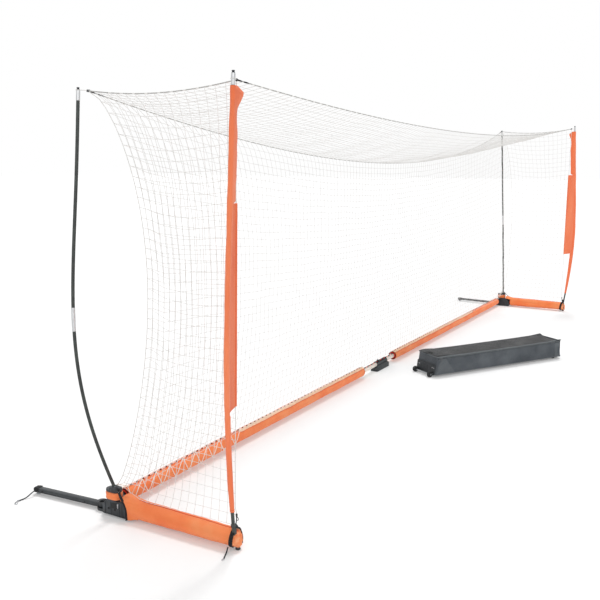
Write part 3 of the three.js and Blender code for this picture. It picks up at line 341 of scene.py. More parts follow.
LOOKS = {
    "orange": fabric("orange_cover", ((250, 128, 72), (255, 142, 84), (255, 154, 98))),
    # pale mottled orange for the gathered nose: painted highlights on its wrinkles
    "nose_highlight": fabric("pale_nose_painted_highlights", ((246, 124, 68), (255, 158, 106), (255, 196, 152)),
                     wrinkle=0.003, blotch=0.02),
    "sleeve": fabric("orange_sleeve", ((236, 112, 70), (244, 126, 82), (250, 140, 96)),
                     stretch=(1, 1, 0.25)),
    # darker orange for the pads' seams, cuffs, the tape's lower edge and the sleeve's hem: painted shade
    # in the seams and folds
    "seam_shade_orange": fabric("painted_seam_shade_orange", ((222, 84, 46), (238, 100, 58)), wrinkle=0.0006),
    "foam": cord_look("red_foam", (206, 40, 26), (238, 66, 44), 0.9),
    # dark red: painted shade inside the rear pads' open ends, and the dark whipping dots on the net's hem
    # cord
    "shade_and_whipping": cord_look("painted_end_shade_and_whipping", (62, 14, 10), (96, 26, 18), 0.9),
    "thread": cord_look("orange_thread", (246, 150, 108), (252, 176, 136)),
    "black": plastic("black_nylon", (34, 37, 40), (52, 56, 60)),
    "hub": plastic("hub_nylon", (26, 29, 32), (50, 56, 61), 0.44),
    "bar": plastic("black_powder_coat", (30, 34, 37), (50, 55, 59), 0.4, 0.0012),
    "rod": plastic("rod_resin", (30, 34, 34), (56, 64, 60), 0.34, 0.003),
    "rubber": plastic("black_rubber", (24, 25, 26), (40, 41, 42), 0.8),
    "peg": plastic("grey_resin", (158, 164, 168), (190, 196, 200)),
    "web": webbing("black_webbing", (22, 23, 25), (44, 46, 49)),
    "black_cord": cord_look("black_cord", (28, 30, 32), (62, 66, 70)),
    "twine": cord_look("white_twine", (212, 210, 207), (232, 231, 229)),
    "lacing": cord_look("white_lacing", (244, 232, 220), (254, 246, 236)),
    "tape": webbing("hem_tape", (250, 196, 158), (254, 222, 192)),
    "wrap": cord_look("white_wrap", (206, 205, 202), (228, 227, 224)),
    "border": cord_look("grey_border_rope", (158, 158, 155), (192, 191, 188)),
    "alloy": metal("brushed_alloy", (176, 178, 180), (214, 215, 216), 0.3, (1, 1, 0.1)),
    "zinc": metal("zinc_plate", (150, 152, 155), (198, 200, 203), 0.34),
    "dark_zinc": metal("dark_zinc", (84, 86, 88), (116, 118, 120), 0.44),
    "canvas": fabric("bag_canvas", ((72, 77, 82), (84, 89, 94), (96, 101, 106)),
                     weave=0.0012, wrinkle=0.005, sheen=0.1),
    "lid": fabric("bag_lid_canvas", ((46, 47, 48), (60, 61, 62), (76, 77, 78)),
                  weave=0.0012, wrinkle=0.006, sheen=0.1),
    "patch": fabric("bag_patch_canvas", ((88, 93, 97), (102, 107, 111)), weave=0.0012,
                    wrinkle=0.0008, sheen=0.1),
    "piping": cord_look("bag_piping", (104, 109, 112), (132, 137, 140)),
}


# ---- Mesh helpers --------------------------------------------------------------------

def frames_along(route, closed=False):
    """Two cross directions at each point of a route, turned as little as possible."""
    count = len(route)
    pairs = []
    side = None
    for index in range(count):
        if closed:
            ahead = (route[(index + 1) % count] - route[index - 1]).normalized()
        else:
            ahead = (route[min(index + 1, count - 1)] - route[max(index - 1, 0)]).normalized()
        if side is None:
            helper = UP if abs(ahead.z) < 0.9 else Vector((1, 0, 0))
            side = ahead.cross(helper).normalized()
        else:
            side = (side - ahead * side.dot(ahead)).normalized()
        pairs.append((side, ahead.cross(side).normalized()))
    return pairs


class Shape:
    """Gathers vertices and faces, then becomes one piece of the model."""

    def __init__(self):
        self.points = []
        self.faces = []
        self.slots = []

    def add(self, points, faces, slot=0):
        start = len(self.points)
        self.points += [Vector(point) for point in points]
        self.faces += [[start + index for index in face] for face in faces]
        self.slots += [slot] * len(faces)

    def rings(self, rings, slot=0, closed=False, caps=True):
        """Joins rings of equally many points into a skin."""
        count = len(rings[0])
        faces = []
        last = len(rings) if closed else len(rings) - 1
        for row in range(last):
            here, there = row * count, ((row + 1) % len(rings)) * count
            for index in range(count):
                after = (index + 1) % count
                faces.append((here + index, here + after, there + after, there + index))
        if caps and not closed:
            faces.append(tuple(range(count))[::-1])
            top = (len(rings) - 1) * count
            faces.append(tuple(top + index for index in range(count)))
        self.add([point for ring in rings for point in ring], faces, slot)

    def tube(self, route, radius, sides=8, slot=0, closed=False, flat=1.0):
        """A tube along a route; radius may be a list, and flat squeezes one cross direction."""
        route = [Vector(point) for point in route]
        radii = radius if isinstance(radius, (list, tuple)) else [radius] * len(route)
        rings = []
        for point, (side, over), size in zip(route, frames_along(route, closed), radii):
            rings.append([point + side * (size * cos) + over * (size * flat * sin)
                          for cos, sin in circle(sides)])
        self.rings(rings, slot, closed)

    def turned(self, profile, centre, axis, sides=24, slot=0):
        """A solid of revolution; the profile lists (distance along the axis, radius)."""
        axis = Vector(axis).normalized()
        helper = UP if abs(axis.z) < 0.9 else Vector((1, 0, 0))
        side = axis.cross(helper).normalized()
        over = axis.cross(side)
        rings = []
        for along, radius in profile:
            rings.append([Vector(centre) + axis * along + side * (radius * cos)
                          + over * (radius * sin) for cos, sin in circle(sides)])
        self.rings(rings, slot)

    def block(self, low, high, rounding=0.0, slot=0, steps=2, turn=None):
        """A box with rounded edges; turn is a matrix that places it."""
        low, high = Vector(low), Vector(high)
        solid = bmesh.new()
        bmesh.ops.create_cube(solid, size=1)
        for vert in solid.verts:
            vert.co = Vector([(low[i] + high[i]) / 2 + vert.co[i] * (high[i] - low[i])
                              for i in range(3)])
        if rounding:
            bmesh.ops.bevel(solid, geom=solid.edges[:], offset=rounding, segments=steps,
                            profile=0.5, affect="EDGES")
        solid.verts.index_update()
        place = turn or Matrix.Identity(4)
        self.add([place @ vert.co for vert in solid.verts],
                 [[vert.index for vert in face.verts] for face in solid.faces], slot)
        solid.free()

    def sheet(self, rows, thickness, slot=0):
        """A closed sheet of even thickness through rows of points."""
        high, wide = len(rows), len(rows[0])
        def at(i, j):
            return rows[min(max(i, 0), high - 1)][min(max(j, 0), wide - 1)]
        layers = []
        for half in (thickness / 2, -thickness / 2):
            layer = []
            for i in range(high):
                for j in range(wide):
                    normal = (at(i + 1, j) - at(i - 1, j)).cross(at(i, j + 1) - at(i, j - 1))
                    layer.append(at(i, j) + normal.normalized() * half)
            layers.append(layer)
        size = high * wide
        faces = []
        for i in range(high - 1):
            for j in range(wide - 1):
                a, b = i * wide + j, (i + 1) * wide + j
                faces.append((a, b, b + 1, a + 1))
                faces.append((size + a, size + a + 1, size + b + 1, size + b))
        for j in range(wide - 1):
            last = (high - 1) * wide + j
            faces.append((j, j + 1, size + j + 1, size + j))
            faces.append((last, size + last, size + last + 1, last + 1))
        for i in range(high - 1):
            a, b = i * wide, (i + 1) * wide
            faces.append((a, size + a, size + b, b))
            faces.append((a + wide - 1, b + wide - 1, size + b + wide - 1, size + a + wide - 1))
        self.add(layers[0] + layers[1], faces, slot)

    def dress(self, node, looks, smooth=40, body="frame"):
        """Makes the piece that is shown in place of a node of the frame."""
        return self.piece(f"{node}_dressed", looks, smooth, body, node)

    def piece(self, name, looks, smooth=40, body="frame", node=None):
        """Makes the mesh object, with its looks, and lets it ride on a body of the frame."""
        replaces = [node] if node else []
        names = (looks,) if isinstance(looks, str) else looks
        mesh = bpy.data.meshes.new(name)
        mesh.from_pydata([tuple(point) for point in self.points], [], self.faces)
        for look in names:
            mesh.materials.append(LOOKS[look])
        mesh.polygons.foreach_set("material_index", self.slots)
        mesh.polygons.foreach_set("use_smooth", [True] * len(mesh.polygons))
        tidy = bmesh.new()
        tidy.from_mesh(mesh)
        bmesh.ops.recalc_face_normals(tidy, faces=tidy.faces[:])
        tidy.to_mesh(mesh)
        tidy.free()
        mesh.set_sharp_from_angle(angle=math.radians(smooth))
        made = bpy.data.objects.new(name, mesh)
        bpy.context.scene.collection.objects.link(made)
        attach(made, body)
        if replaces:
            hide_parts(*replaces)
        return made


def spline(points, count):
    """Even points on a smooth curve through the given ones."""
    points = [Vector(point) for point in points]
    ends = [points[0] * 2 - points[1]] + points + [points[-1] * 2 - points[-2]]
    fine = []
    steps = 12
    for i in range(1, len(ends) - 2):
        a, b, c, d = ends[i - 1:i + 3]
        for step in range(steps):
            t = step / steps
            fine.append(0.5 * ((2 * b) + (c - a) * t + (2 * a - 5 * b + 4 * c - d) * t * t
                               + (3 * b - a - 3 * c + d) * t ** 3))
    fine.append(points[-1])
    lengths = [0.0]
    for first, second in zip(fine, fine[1:]):
        lengths.append(lengths[-1] + (second - first).length)
    result = []
    index = 0
    for step in range(count):
        goal = lengths[-1] * step / (count - 1)
        while index < len(fine) - 2 and lengths[index + 1] < goal:
            index += 1
        span = lengths[index + 1] - lengths[index]
        share = (goal - lengths[index]) / span if span else 0
        result.append(fine[index].lerp(fine[index + 1], min(share, 1)))
    return result


def route_length(route):
    return sum((second - first).length for first, second in zip(route, route[1:]))


def lerp(first, second, share):
    return first + (second - first) * share


def ripple(point, size, seed=0.0):
    """Smooth noise from -1 to 1 at a place."""
    return noise.noise(Vector(point) / size + Vector((seed, seed * 1.7, seed * 0.3)))


def mirrored(points, sign):
    return [Vector((sign * x, y, z)) for x, y, z in points]


# ---- Free cords on the ground --------------------------------------------------------

TETHER_ROUTE = [
    (3252.2, 474, 26), (3257.3, 473.6, 26), (3262.4, 473.3, 25.8), (3267.5, 473.1, 25.3),
    (3272.6, 473, 24.4), (3277.7, 473.1, 23), (3282.8, 473.6, 21), (3287.7, 474.4, 18.5),
    (3292.5, 475.5, 15.8), (3297.3, 476.8, 13), (3302.1, 478.3, 10.4), (3307, 480, 8),
    (3312, 481.8, 6.1), (3317, 483.5, 4.8), (3322, 485, 3.9), (3327, 486.2, 3.4),
    (3332, 487.3, 3.3), (3337, 488.2, 3.3), (3342.5, 488.8, 3.3), (3348, 489, 3.3),
]
TAIL_ROUTE = [
    (3235.3, -712, 18.7), (3239.5, -712.4, 14.5), (3243.7, -713.3, 10.5), (3248, -714.8, 7),
    (3252.8, -716.6, 4.6), (3258, -718.8, 3.5), (3264, -721.4, 3.3), (3270, -724, 3.3),
    (3276, -726.4, 3.3), (3282, -728.9, 3.3), (3288, -731.5, 3.3), (3294, -734.3, 3.3),
    (3300, -736.7, 3.3), (3306, -738.3, 3.3), (3312, -739, 3.3), (3319, -739, 3.3),
]
CORD_RADIUS = mm(3)
HOOK_BEND = [(10, 0, 0.5), (20, -1, 0), (30, -6, 0), (34, -13, 0), (30, -19, 0), (23, -18, 0)]


def add_ground_cords(name, sign):
    tether_path = mirrored([mm(*point) for point in TETHER_ROUTE], sign)
    tail_path = mirrored([mm(*point) for point in TAIL_ROUTE], sign)

    end = mm(*TETHER_ROUTE[-1])
    hook = Shape()
    ferrule = [(0, 3.4), (0.8, 5), (3, 5.2), (4, 4.6), (5, 5.2), (9, 5.2), (10.4, 4.6), (12, 3.2)]
    hook.turned(in_mm(*ferrule),
                mirrored([end + mm(0.4, 0, 2)], sign)[0], (sign, 0, 0), 16)
    bend = mirrored([end + mm(*point) for point in HOOK_BEND], sign)
    wire = spline(bend, 22)
    hook.tube(wire, [mm(2.6)] * 20 + [mm(2.2), mm(1.4)], 10)
    hook_piece = hook.dress(f"tether_hook_{name}", "zinc", body=f"leg_{name}")

    tether = Shape()
    tether.tube(tether_path, CORD_RADIUS, 10)
    tether_piece = tether.dress(f"leg_tether_{name}", "black_cord", body=f"leg_{name}")

    tail = Shape()
    tail.tube(tail_path[:14], [CORD_RADIUS] * 14, 10)
    tail.tube(tail_path[13:], [mm(3.1), mm(3), mm(2.4)], 10, slot=1)
    tail_piece = tail.dress(f"strap_tail_{name}", ("black_cord", "zinc"))


for side_name, side_sign in SIDES:
    add_ground_cords(side_name, side_sign)


# ---- Routes of the bows and the net --------------------------------------------------

def bow_at(bow, sign, z):
    t = (z - POLE_FOOT_Z) / (bow["tip_z"] - POLE_FOOT_Z)
    bend = math.sin(math.pi * t) + BOW_SKEW * math.sin(2 * math.pi * t)
    outward = lerp(bow["foot_out"], bow["tip_out"], t) + bow["out"] * bend
    return Vector((sign * (HALF_WIDTH + outward),
                   lerp(bow["foot_y"], bow["tip_y"], t) + bow["back"] * bend, z))


def bow_route(bow, sign, bottom, top, count):
    return [bow_at(bow, sign, lerp(bottom, top, i / (count - 1))) for i in range(count)]


def front_top(u):
    return Vector((lerp(-FRONT_CORNER_X, FRONT_CORNER_X, u), FRONT_CORNER_Y,
                   FRONT_TOP_Z - FRONT_SAG * 4 * u * (1 - u)))


def rear_top(u):
    hang = 4 * u * (1 - u)
    return Vector((lerp(-REAR_CORNER_X, REAR_CORNER_X, u), REAR_CORNER_Y - REAR_TOP_PULL * hang,
                   NET_HEIGHT - REAR_SAG * hang))


def side_top(sign, v):
    sag = SIDE_SAG * 4 * v * (1 - v)
    return Vector((sign * lerp(FRONT_CORNER_X, REAR_CORNER_X, v),
                   lerp(FRONT_CORNER_Y, REAR_CORNER_Y, v), lerp(FRONT_TOP_Z, NET_HEIGHT, v) - sag))


HUB_BOSS = bow_at(REAR_BOW, 1, mm(149))
NET_FOOT = Vector((HUB_BOSS.x - mm(20.3), HUB_BOSS.y, mm(150)))


def rear_corner(sign, t):
    pull = max(math.sin(math.pi * t ** CORNER_SKEW), 0) ** CORNER_FULLNESS
    return Vector((sign * (lerp(REAR_CORNER_X, NET_FOOT.x, t) - CORNER_PULL_X * pull),
                   lerp(REAR_CORNER_Y, NET_FOOT.y, t) - CORNER_PULL_Y * pull,
                   lerp(NET_HEIGHT, NET_FOOT.z, t)))


def mouth_edge(sign, t):
    return Vector((sign * lerp(FRONT_CORNER_X, MOUTH_FOOT.x, t),
                   lerp(FRONT_CORNER_Y, MOUTH_FOOT.y, t), lerp(FRONT_TOP_Z, MOUTH_FOOT.z, t)))


def foot_rise(distance):
    """Share of the climb from the pad to the hub's top, near a corner of the net's foot."""
    return min(max((mm(150) - distance) / mm(110), 0), 1)


def rear_panel(u, v):
    left, right, top = rear_corner(-1, v), rear_corner(1, v), rear_top(u)
    ends = 1 - max(math.sin(math.pi * u), 0) ** 0.7
    pulled = lerp(left.y, right.y, u) - lerp(REAR_CORNER_Y, NET_FOOT.y, v)
    y = lerp(top.y, NET_FOOT.y * ends, v) + pulled * ends
    foot_z = lerp(NET_REAR_FOOT_Z, NET_FOOT.z, foot_rise(2 * NET_FOOT.x * min(u, 1 - u)))
    return Vector((lerp(left.x, right.x, u), y, lerp(top.z, foot_z, v)))


def top_panel(u, v):
    point = front_top(u).lerp(rear_top(u), v)
    point.z -= SIDE_SAG * 4 * v * (1 - v)
    return point


def side_panel(sign, u, v):
    slant = (FRONT_TOP_Z - NET_FRONT_FOOT_Z) / (FRONT_TOP_Z - MOUTH_FOOT.z)
    point = mouth_edge(sign, v * slant).lerp(rear_corner(sign, v), u)
    rise = foot_rise((NET_FOOT.y - FRONT_CORNER_Y) * (1 - u))
    point.z -= SIDE_SAG * 4 * u * (1 - u) * (1 - v)
    point.z -= (NET_FOOT.z - NET_FRONT_FOOT_Z) * (u - rise) * v
    return point


# ---- Bow poles -----------------------------------------------------------------------

def add_bow(place, bow, name, sign):
    tip_bottom = bow["tip_z"] - mm(52)
    lengths = {"lower": (POLE_FOOT_Z, POLE_SPLIT), "upper": (POLE_SPLIT, tip_bottom)}
    for part, (bottom, top) in lengths.items():
        rod = Shape()
        rod.tube(bow_route(bow, sign, bottom, top, 40), POLE_RADIUS, 16)
        rod.piece(f"{place}_rod_{part}_{name}", "rod", node=f"{place}_pole_{part}_{name}")

    low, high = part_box(f"{place}_ferrule_{name}")
    route = bow_route(bow, sign, low[2] + mm(1), high[2] - mm(1), 28)
    crimps = (3, 5, 22, 24)
    radii = [POLE_RADIUS + mm(0.6 if i in crimps or i in (0, 27) else 1.4) for i in range(28)]
    ferrule = Shape()
    ferrule.tube(route, radii, 20)
    ferrule.dress(f"{place}_ferrule_{name}", "alloy")

    tip = Shape()
    end = bow["tip_z"] - mm(5)
    tip.tube(bow_route(bow, sign, tip_bottom, end, 12),
             [mm(8.4)] + [mm(9.2)] * 9 + [mm(9), mm(8.2)], 20)
    cap_profile = [(0, 7.2), (2, 7.4), (4, 5), (5, 4.6), (6, 6.2), (9, 6.6), (10.6, 5.6), (11, 3.6)]
    tip.turned(in_mm(*cap_profile),
               bow_at(bow, sign, end), (0, 0, 1), 20, slot=1)
    tip.dress(f"{place}_tip_{name}", ("alloy", "black"))


# ---- Sleeves and banners on the front poles -------------------------------------------

SLEEVE_BOTTOM = mm(195)
SLEEVE_TOP = FRONT_BOW["tip_z"] - mm(53)
BANNER_BOTTOM = mm(645)
BANNER_TOP = mm(1510)


def towards_rope(sign, z):
    pole = bow_at(FRONT_BOW, sign, z)
    rope = mouth_edge(sign, (FRONT_TOP_Z - z) / (FRONT_TOP_Z - MOUTH_FOOT.z))
    return pole, rope


def sleeve_fin(z):
    """How far the slack fabric stands off the pole towards the net."""
    wave = mm(5) * ripple((0, 0, z), 0.1, 9) + mm(3) * ripple((0, 0, z), 0.04, 2)
    if z < BANNER_BOTTOM:
        rise = (z - SLEEVE_BOTTOM) / (BANNER_BOTTOM - SLEEVE_BOTTOM)
        return lerp(mm(14), mm(38), math.sin(math.pi / 2 * rise)) + wave * rise
    if z < BANNER_TOP:
        return mm(26)
    narrow = mm(8) * math.exp(-(((z - SLEEVE_TOP + mm(140)) / mm(60)) ** 2))
    taper = min(max((SLEEVE_TOP - z) / mm(24), 0), 1)
    return lerp(mm(26), mm(62) + wave - narrow, taper)


def sleeve_turn(z):
    """How far the slack fabric turns away from the line to the rope, in degrees."""
    if z < BANNER_TOP:
        return 4
    tab = min(max((z - SLEEVE_TOP + mm(90)) / mm(60), 0), 1)
    return 9 + 20 * tab + 3 * ripple((0, 1, z), 0.12, 6)


def add_sleeve(name, sign):
    count = 150
    sides = 24
    rings = []
    for step in range(count):
        z = lerp(SLEEVE_BOTTOM, SLEEVE_TOP, step / (count - 1))
        pole, rope = towards_rope(sign, z)
        turn = Matrix.Rotation(math.radians(-sleeve_turn(z)), 3, "Z")
        inward = turn @ (rope - pole).normalized()
        across = UP.cross(inward).normalized()
        back = mm(11.4) + mm(2) * ripple((1, 0, z), 0.07, 12)
        if z < BANNER_BOTTOM:
            back = lerp(mm(9.6), mm(11.6), min((z - SLEEVE_BOTTOM) / mm(120), 1))
        fin = sleeve_fin(z)
        ring = []
        for index in range(sides):
            angle = 2 * math.pi * index / sides
            reach = math.cos(angle)
            along = fin * reach if reach > 0 else back * reach
            thin = 0.45 if z < BANNER_TOP else 0.7
            wide = back * math.sin(angle) * (1 - thin * max(reach, 0) ** 1.4)
            crease = 1 + 0.09 * ripple((angle * 0.9, 0, z), 0.16, 5 + sign)
            crease += 0.05 * ripple((angle * 2, 1, z), 0.04, 8 + sign)
            ring.append(pole + (inward * along + across * wide) * crease)
        rings.append(ring)
    tube = Shape()
    tube.rings(rings)
    # two hem lines in the darker seam orange: painted shade along the sleeve's hem
    for z in (SLEEVE_BOTTOM + mm(12), SLEEVE_BOTTOM + mm(3)):
        pole, _ = towards_rope(sign, z)
        hem = [pole + Vector((cos, sin, 0)) * mm(10) for cos, sin in circle(24)]
        tube.tube(hem, mm(0.8), 6, slot=1, closed=True)
    sleeve = tube.dress(f"front_sleeve_{name}", ("sleeve", "seam_shade_orange"), smooth=60)

    rows = []
    steps, wide = 70, 14
    for step in range(steps + 1):
        z = lerp(BANNER_BOTTOM, BANNER_TOP, step / steps)
        pole, rope = towards_rope(sign, z)
        span = rope - pole
        across = UP.cross(span).normalized()
        start = mm(8) / span.length
        row = []
        for index in range(wide + 1):
            u = lerp(start, 1, index / wide)
            billow = math.sin(math.pi * u) * (mm(5) + mm(3) * ripple((u, 0, z), 0.35, sign))
            billow += mm(1.6) * ripple((u * 0.4, 1, z), 0.05, 2 + sign) * math.sin(math.pi * u)
            row.append(pole + span * u + across * billow)
        rows.append(row)
    banner = Shape()
    banner.sheet(rows, mm(1.6))
    banner_piece = banner.piece(f"banner_flap_{name}", "sleeve", smooth=60)

    trim = Shape()
    trim.tube([row[-1] for row in rows], mm(6), 10)
    for row in (rows[0], rows[-1]):
        trim.tube(row, mm(2.2), 8, flat=0.6)
    stitches = spline([row[-2] for row in rows[::5]], 150)
    normals = frames_along(stitches)
    for index in range(0, len(stitches) - 1, 2):
        for lift in (mm(1.3), mm(-1.3)):
            trim.tube([stitches[index + step] + normals[index][0] * lift for step in (0, 1)],
                      mm(0.6), 4, slot=1)
    trim_piece = trim.piece(f"banner_hem_{name}", ("sleeve", "thread"))


# ---- Pads ----------------------------------------------------------------------------

CUFF = 0.9                       # radius of a pad's end hem as a share of the pad's
NOSE_END = mm(-757)              # front end of the side pads' gathered cover
NOSE_PINCH = mm(-730)            # where the strap starts to gather it
NOSE_RINGS = 7                   # rings of the gathered cover mottled pale: painted highlights on its wrinkles


def pad_skin(shape, ends, axis, centre, radius, seed, nose=False):
    """A stuffed tube along an axis, with shallow wrinkles and a seam that draws it in."""
    start, stop = ends
    length = stop - start
    step_length = mm(4.5) if nose else mm(9)
    count = max(int(length / step_length), 8)
    sides = 40
    rings = []
    for step in range(count + 1):
        share = step / count
        at = lerp(start, stop, share)
        to_end = min(share * length, (1 - share) * length)
        edge = min(to_end / mm(14), 1)
        size = radius * (0.9 + 0.1 * math.sin(edge * math.pi / 2))
        pinch = 0
        if nose:
            size *= 0.89 + 0.11 * min(max((at + mm(700)) / mm(420), 0), 1)
            pinch = min(max((NOSE_PINCH - at) / (NOSE_PINCH - NOSE_END), 0), 1)
        ring = []
        for index in range(sides):
            angle = 2 * math.pi * index / sides
            ring_size = size - mm(1.9) * math.exp(-((angle - math.pi / 2) / 0.16) ** 2)
            spot = Vector((at, math.cos(angle) * radius, math.sin(angle) * radius))
            ring_size += mm(1.5) * ripple(spot, 0.13, seed) + mm(0.8) * ripple(spot, 0.035, seed + 3)
            twist = Vector((at * 3.2, 0, 0)) + spot * 0.5
            ring_size += mm(0.9) * ripple(twist, 0.11, seed + 7)
            ring_size = min(ring_size, radius + mm(1))
            offset = Vector((0, math.cos(angle), math.sin(angle))) * ring_size
            if pinch:
                high = max(math.sin(angle), 0)
                fold = 1 + 0.15 * pinch * math.sin(angle * 9 + at * 60)
                offset.y *= (1 - pinch * (0.6 + 0.3 * high)) * fold
                offset.z *= (1 - 0.62 * high * pinch - 0.14 * pinch ** 6) * fold
            if axis == "X":
                ring.append(Vector((at, centre[0] + offset.y, centre[1] + offset.z)))
            else:
                ring.append(Vector((centre[0] + offset.y, at, centre[1] + offset.z)))
        rings.append(ring)
    shape.rings(rings)
    # the front rings take the pale mottled cover: painted highlights on the gathered wrinkles
    if nose:
        gathered = NOSE_RINGS * sides
        shape.slots[:gathered] = [2] * gathered
    return rings


def add_rear_pad(name, sign):
    node = f"rear_pad_{name}"
    low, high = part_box(node)
    pad = Shape()
    hem = mm(5)
    rings = pad_skin(pad, (low[0] + hem, high[0] - hem), "X", (0, BAR_Z), REAR_PAD_RADIUS, 4 + sign)
    quarter = len(rings[0]) // 4
    # seam lines, ridge and end cuffs in the darker seam orange: painted shade along the seam
    for offset in (-2, 2):
        pad.tube([ring[quarter + offset] for ring in rings], mm(1.2), 6, slot=1, flat=0.5)
    ridge = [ring[quarter] + UP * mm(1.2) for ring in rings]
    pad.tube(ridge, mm(3.4), 8, slot=1, flat=0.5)
    for end in (low[0], high[0]):
        inward = 1 if end == low[0] else -1
        around = [Vector((end + inward * mm(5), REAR_PAD_RADIUS * CUFF * cos,
                          BAR_Z + REAR_PAD_RADIUS * CUFF * sin)) for cos, sin in circle(32)]
        pad.tube(around, mm(2.4), 8, slot=1, closed=True)
        # dark ring inside the end: painted shade of the pad's open end
        pad.turned([(inward * mm(along), mm(size)) for along, size in
                    ((5, 34.6), (1.6, 34), (0.6, 32), (0.6, 19), (3, 17.8))],
                   (end, 0, BAR_Z), (1, 0, 0), 32, slot=3)
        pad.turned([(inward * mm(along), mm(size)) for along, size in
                    ((4, 26), (0.6, 26), (-1.6, 24), (-2, 21), (3, 20.6))],
                   (end, 0, BAR_Z + mm(2)), (1, 0, 0), 32, slot=2)
    made = pad.dress(node, ("orange", "seam_shade_orange", "foam", "shade_and_whipping"), smooth=50)


def add_side_pad(name, sign):
    node = f"side_pad_{name}"
    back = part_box(node)[1][1] - mm(4)
    pad = Shape()
    rings = pad_skin(pad, (NOSE_END, back), "Y", (sign * HALF_WIDTH, BAR_Z), SIDE_PAD_RADIUS,
                     11 + sign, nose=True)
    quarter = len(rings[0]) // 4
    # ridge and cuff in the darker seam orange: painted shade along the seam
    pad.tube([ring[quarter] + UP * mm(1) for ring in rings[3:]], mm(3), 8, slot=1, flat=0.5)
    around = [Vector((sign * HALF_WIDTH + SIDE_PAD_RADIUS * CUFF * cos, back,
                      BAR_Z + SIDE_PAD_RADIUS * CUFF * sin)) for cos, sin in circle(36)]
    pad.tube(around, mm(2.6), 8, slot=1, closed=True)
    made = pad.dress(node, ("orange", "seam_shade_orange", "nose_highlight"), smooth=50)

    tongue = Shape()
    rows = []
    for y, crest, drop, wide in ((-196, 98.6, 20, 40.4), (-180, 99.4, 18, 41.4), (-166, 100.4, 14, 43),
                                 (-154, 102, 10, 45), (-144, 104, 9, 46.4), (-136, 106, 9, 47),
                                 (-128, 108, 76, 47), (-119, 110, 92, 46.6), (-108, 111, 99, 46),
                                 (-96, 112, 104, 44)):
        section = ((wide * 0.86, crest - 22), (wide * 0.74, crest - 10), (wide * 0.4, crest - 2),
                   (0, crest), (wide * -0.4, crest - 2), (wide * -0.74, crest - 9))
        rows.append([Vector((sign * (HALF_WIDTH - mm(across)), mm(y), mm(z))) for across, z in section])
        side_top = min(crest - 24, 78) if drop < 60 else crest - 14
        for share in (0, 0.33, 0.67, 1):
            bulge = wide - 4 * share ** 3
            rows[-1].append(Vector((sign * (HALF_WIDTH + mm(bulge)), mm(y),
                                    mm(lerp(side_top, min(drop, side_top - 3), share)))))
    tongue.sheet(rows, mm(3))
    tongue.piece(f"side_pad_tongue_{name}", "orange", smooth=60)


# ---- Net -----------------------------------------------------------------------------

def net_grid(shape, place, wide, high, seed):
    """Square mesh of twine over place(u, v), a little uneven, with a knot at each crossing."""
    grid = []
    for i in range(wide + 1):
        column = []
        for j in range(high + 1):
            point = place(i / wide, j / high)
            loose = math.sin(math.pi * i / wide) * math.sin(math.pi * j / high)
            drift = Vector([ripple(point, 0.22, seed + k) for k in range(3)])
            column.append(point + drift * mm(9) * min(3 * loose, 1))
        grid.append(column)
    for column in grid[1:-1]:
        shape.tube(column, TWINE, 4)
    for j in range(1, high + 1):
        shape.tube([grid[i][j] for i in range(wide + 1)], TWINE, 4)
    knot = TWINE * 1.9
    corners = [Vector(way) * knot for way in
               ((1, 0, 0), (-1, 0, 0), (0, 1, 0), (0, -1, 0), (0, 0, 1), (0, 0, -1))]
    faces = [(0, 2, 4), (2, 1, 4), (1, 3, 4), (3, 0, 4), (2, 0, 5), (1, 2, 5), (3, 1, 5), (0, 3, 5)]
    for column in grid[1:-1]:
        for point in column[1:]:
            shape.add([point + corner for corner in corners], faces)


def add_net():
    long_cells = round(2 * REAR_CORNER_X / MESH)
    tall_cells = round(NET_HEIGHT / MESH)
    deep_cells = round((REAR_CORNER_Y - FRONT_CORNER_Y) / MESH)
    panels = (
        ("net_rear", rear_panel, long_cells, tall_cells - 1),
        ("net_top", top_panel, long_cells, deep_cells),
        ("net_left", lambda u, v: side_panel(-1, u, v), deep_cells, tall_cells - 1),
        ("net_right", lambda u, v: side_panel(1, u, v), deep_cells, tall_cells - 1),
    )
    for index, (node, place, wide, high) in enumerate(panels):
        net = Shape()
        net_grid(net, place, wide, high, 20 + 5 * index)
        net.piece(f"{node}_twine", "twine", smooth=80, node=node)


def add_border_ropes():
    rope = Shape()
    wraps = Shape()
    edges = [([top(i / 90) for i in range(91)], True) for top in (front_top, rear_top)]
    for _, sign in SIDES:
        edges.append(([side_top(sign, i / 20) for i in range(21)], True))
        edges.append(([rear_corner(sign, i / 50) for i in range(51)], False))
        edges.append(([mouth_edge(sign, i / 40) for i in range(41)], False))
    for route, thick in edges:
        rope.tube(route, mm(2.6 if thick else 1.7), 8, slot=0 if thick else 1)
        if not thick:
            continue
        dense = spline(route, max(int(route_length(route) / mm(16)), 4))
        for start in range(7, len(dense) - 6, 4):
            wraps.tube(dense[start:start + 2], [mm(2.8), mm(2.8)], 8)
    rope.piece("net_border_rope", ("border", "wrap"), node="net_rope")
    wraps.piece("net_rope_whipping", "wrap")


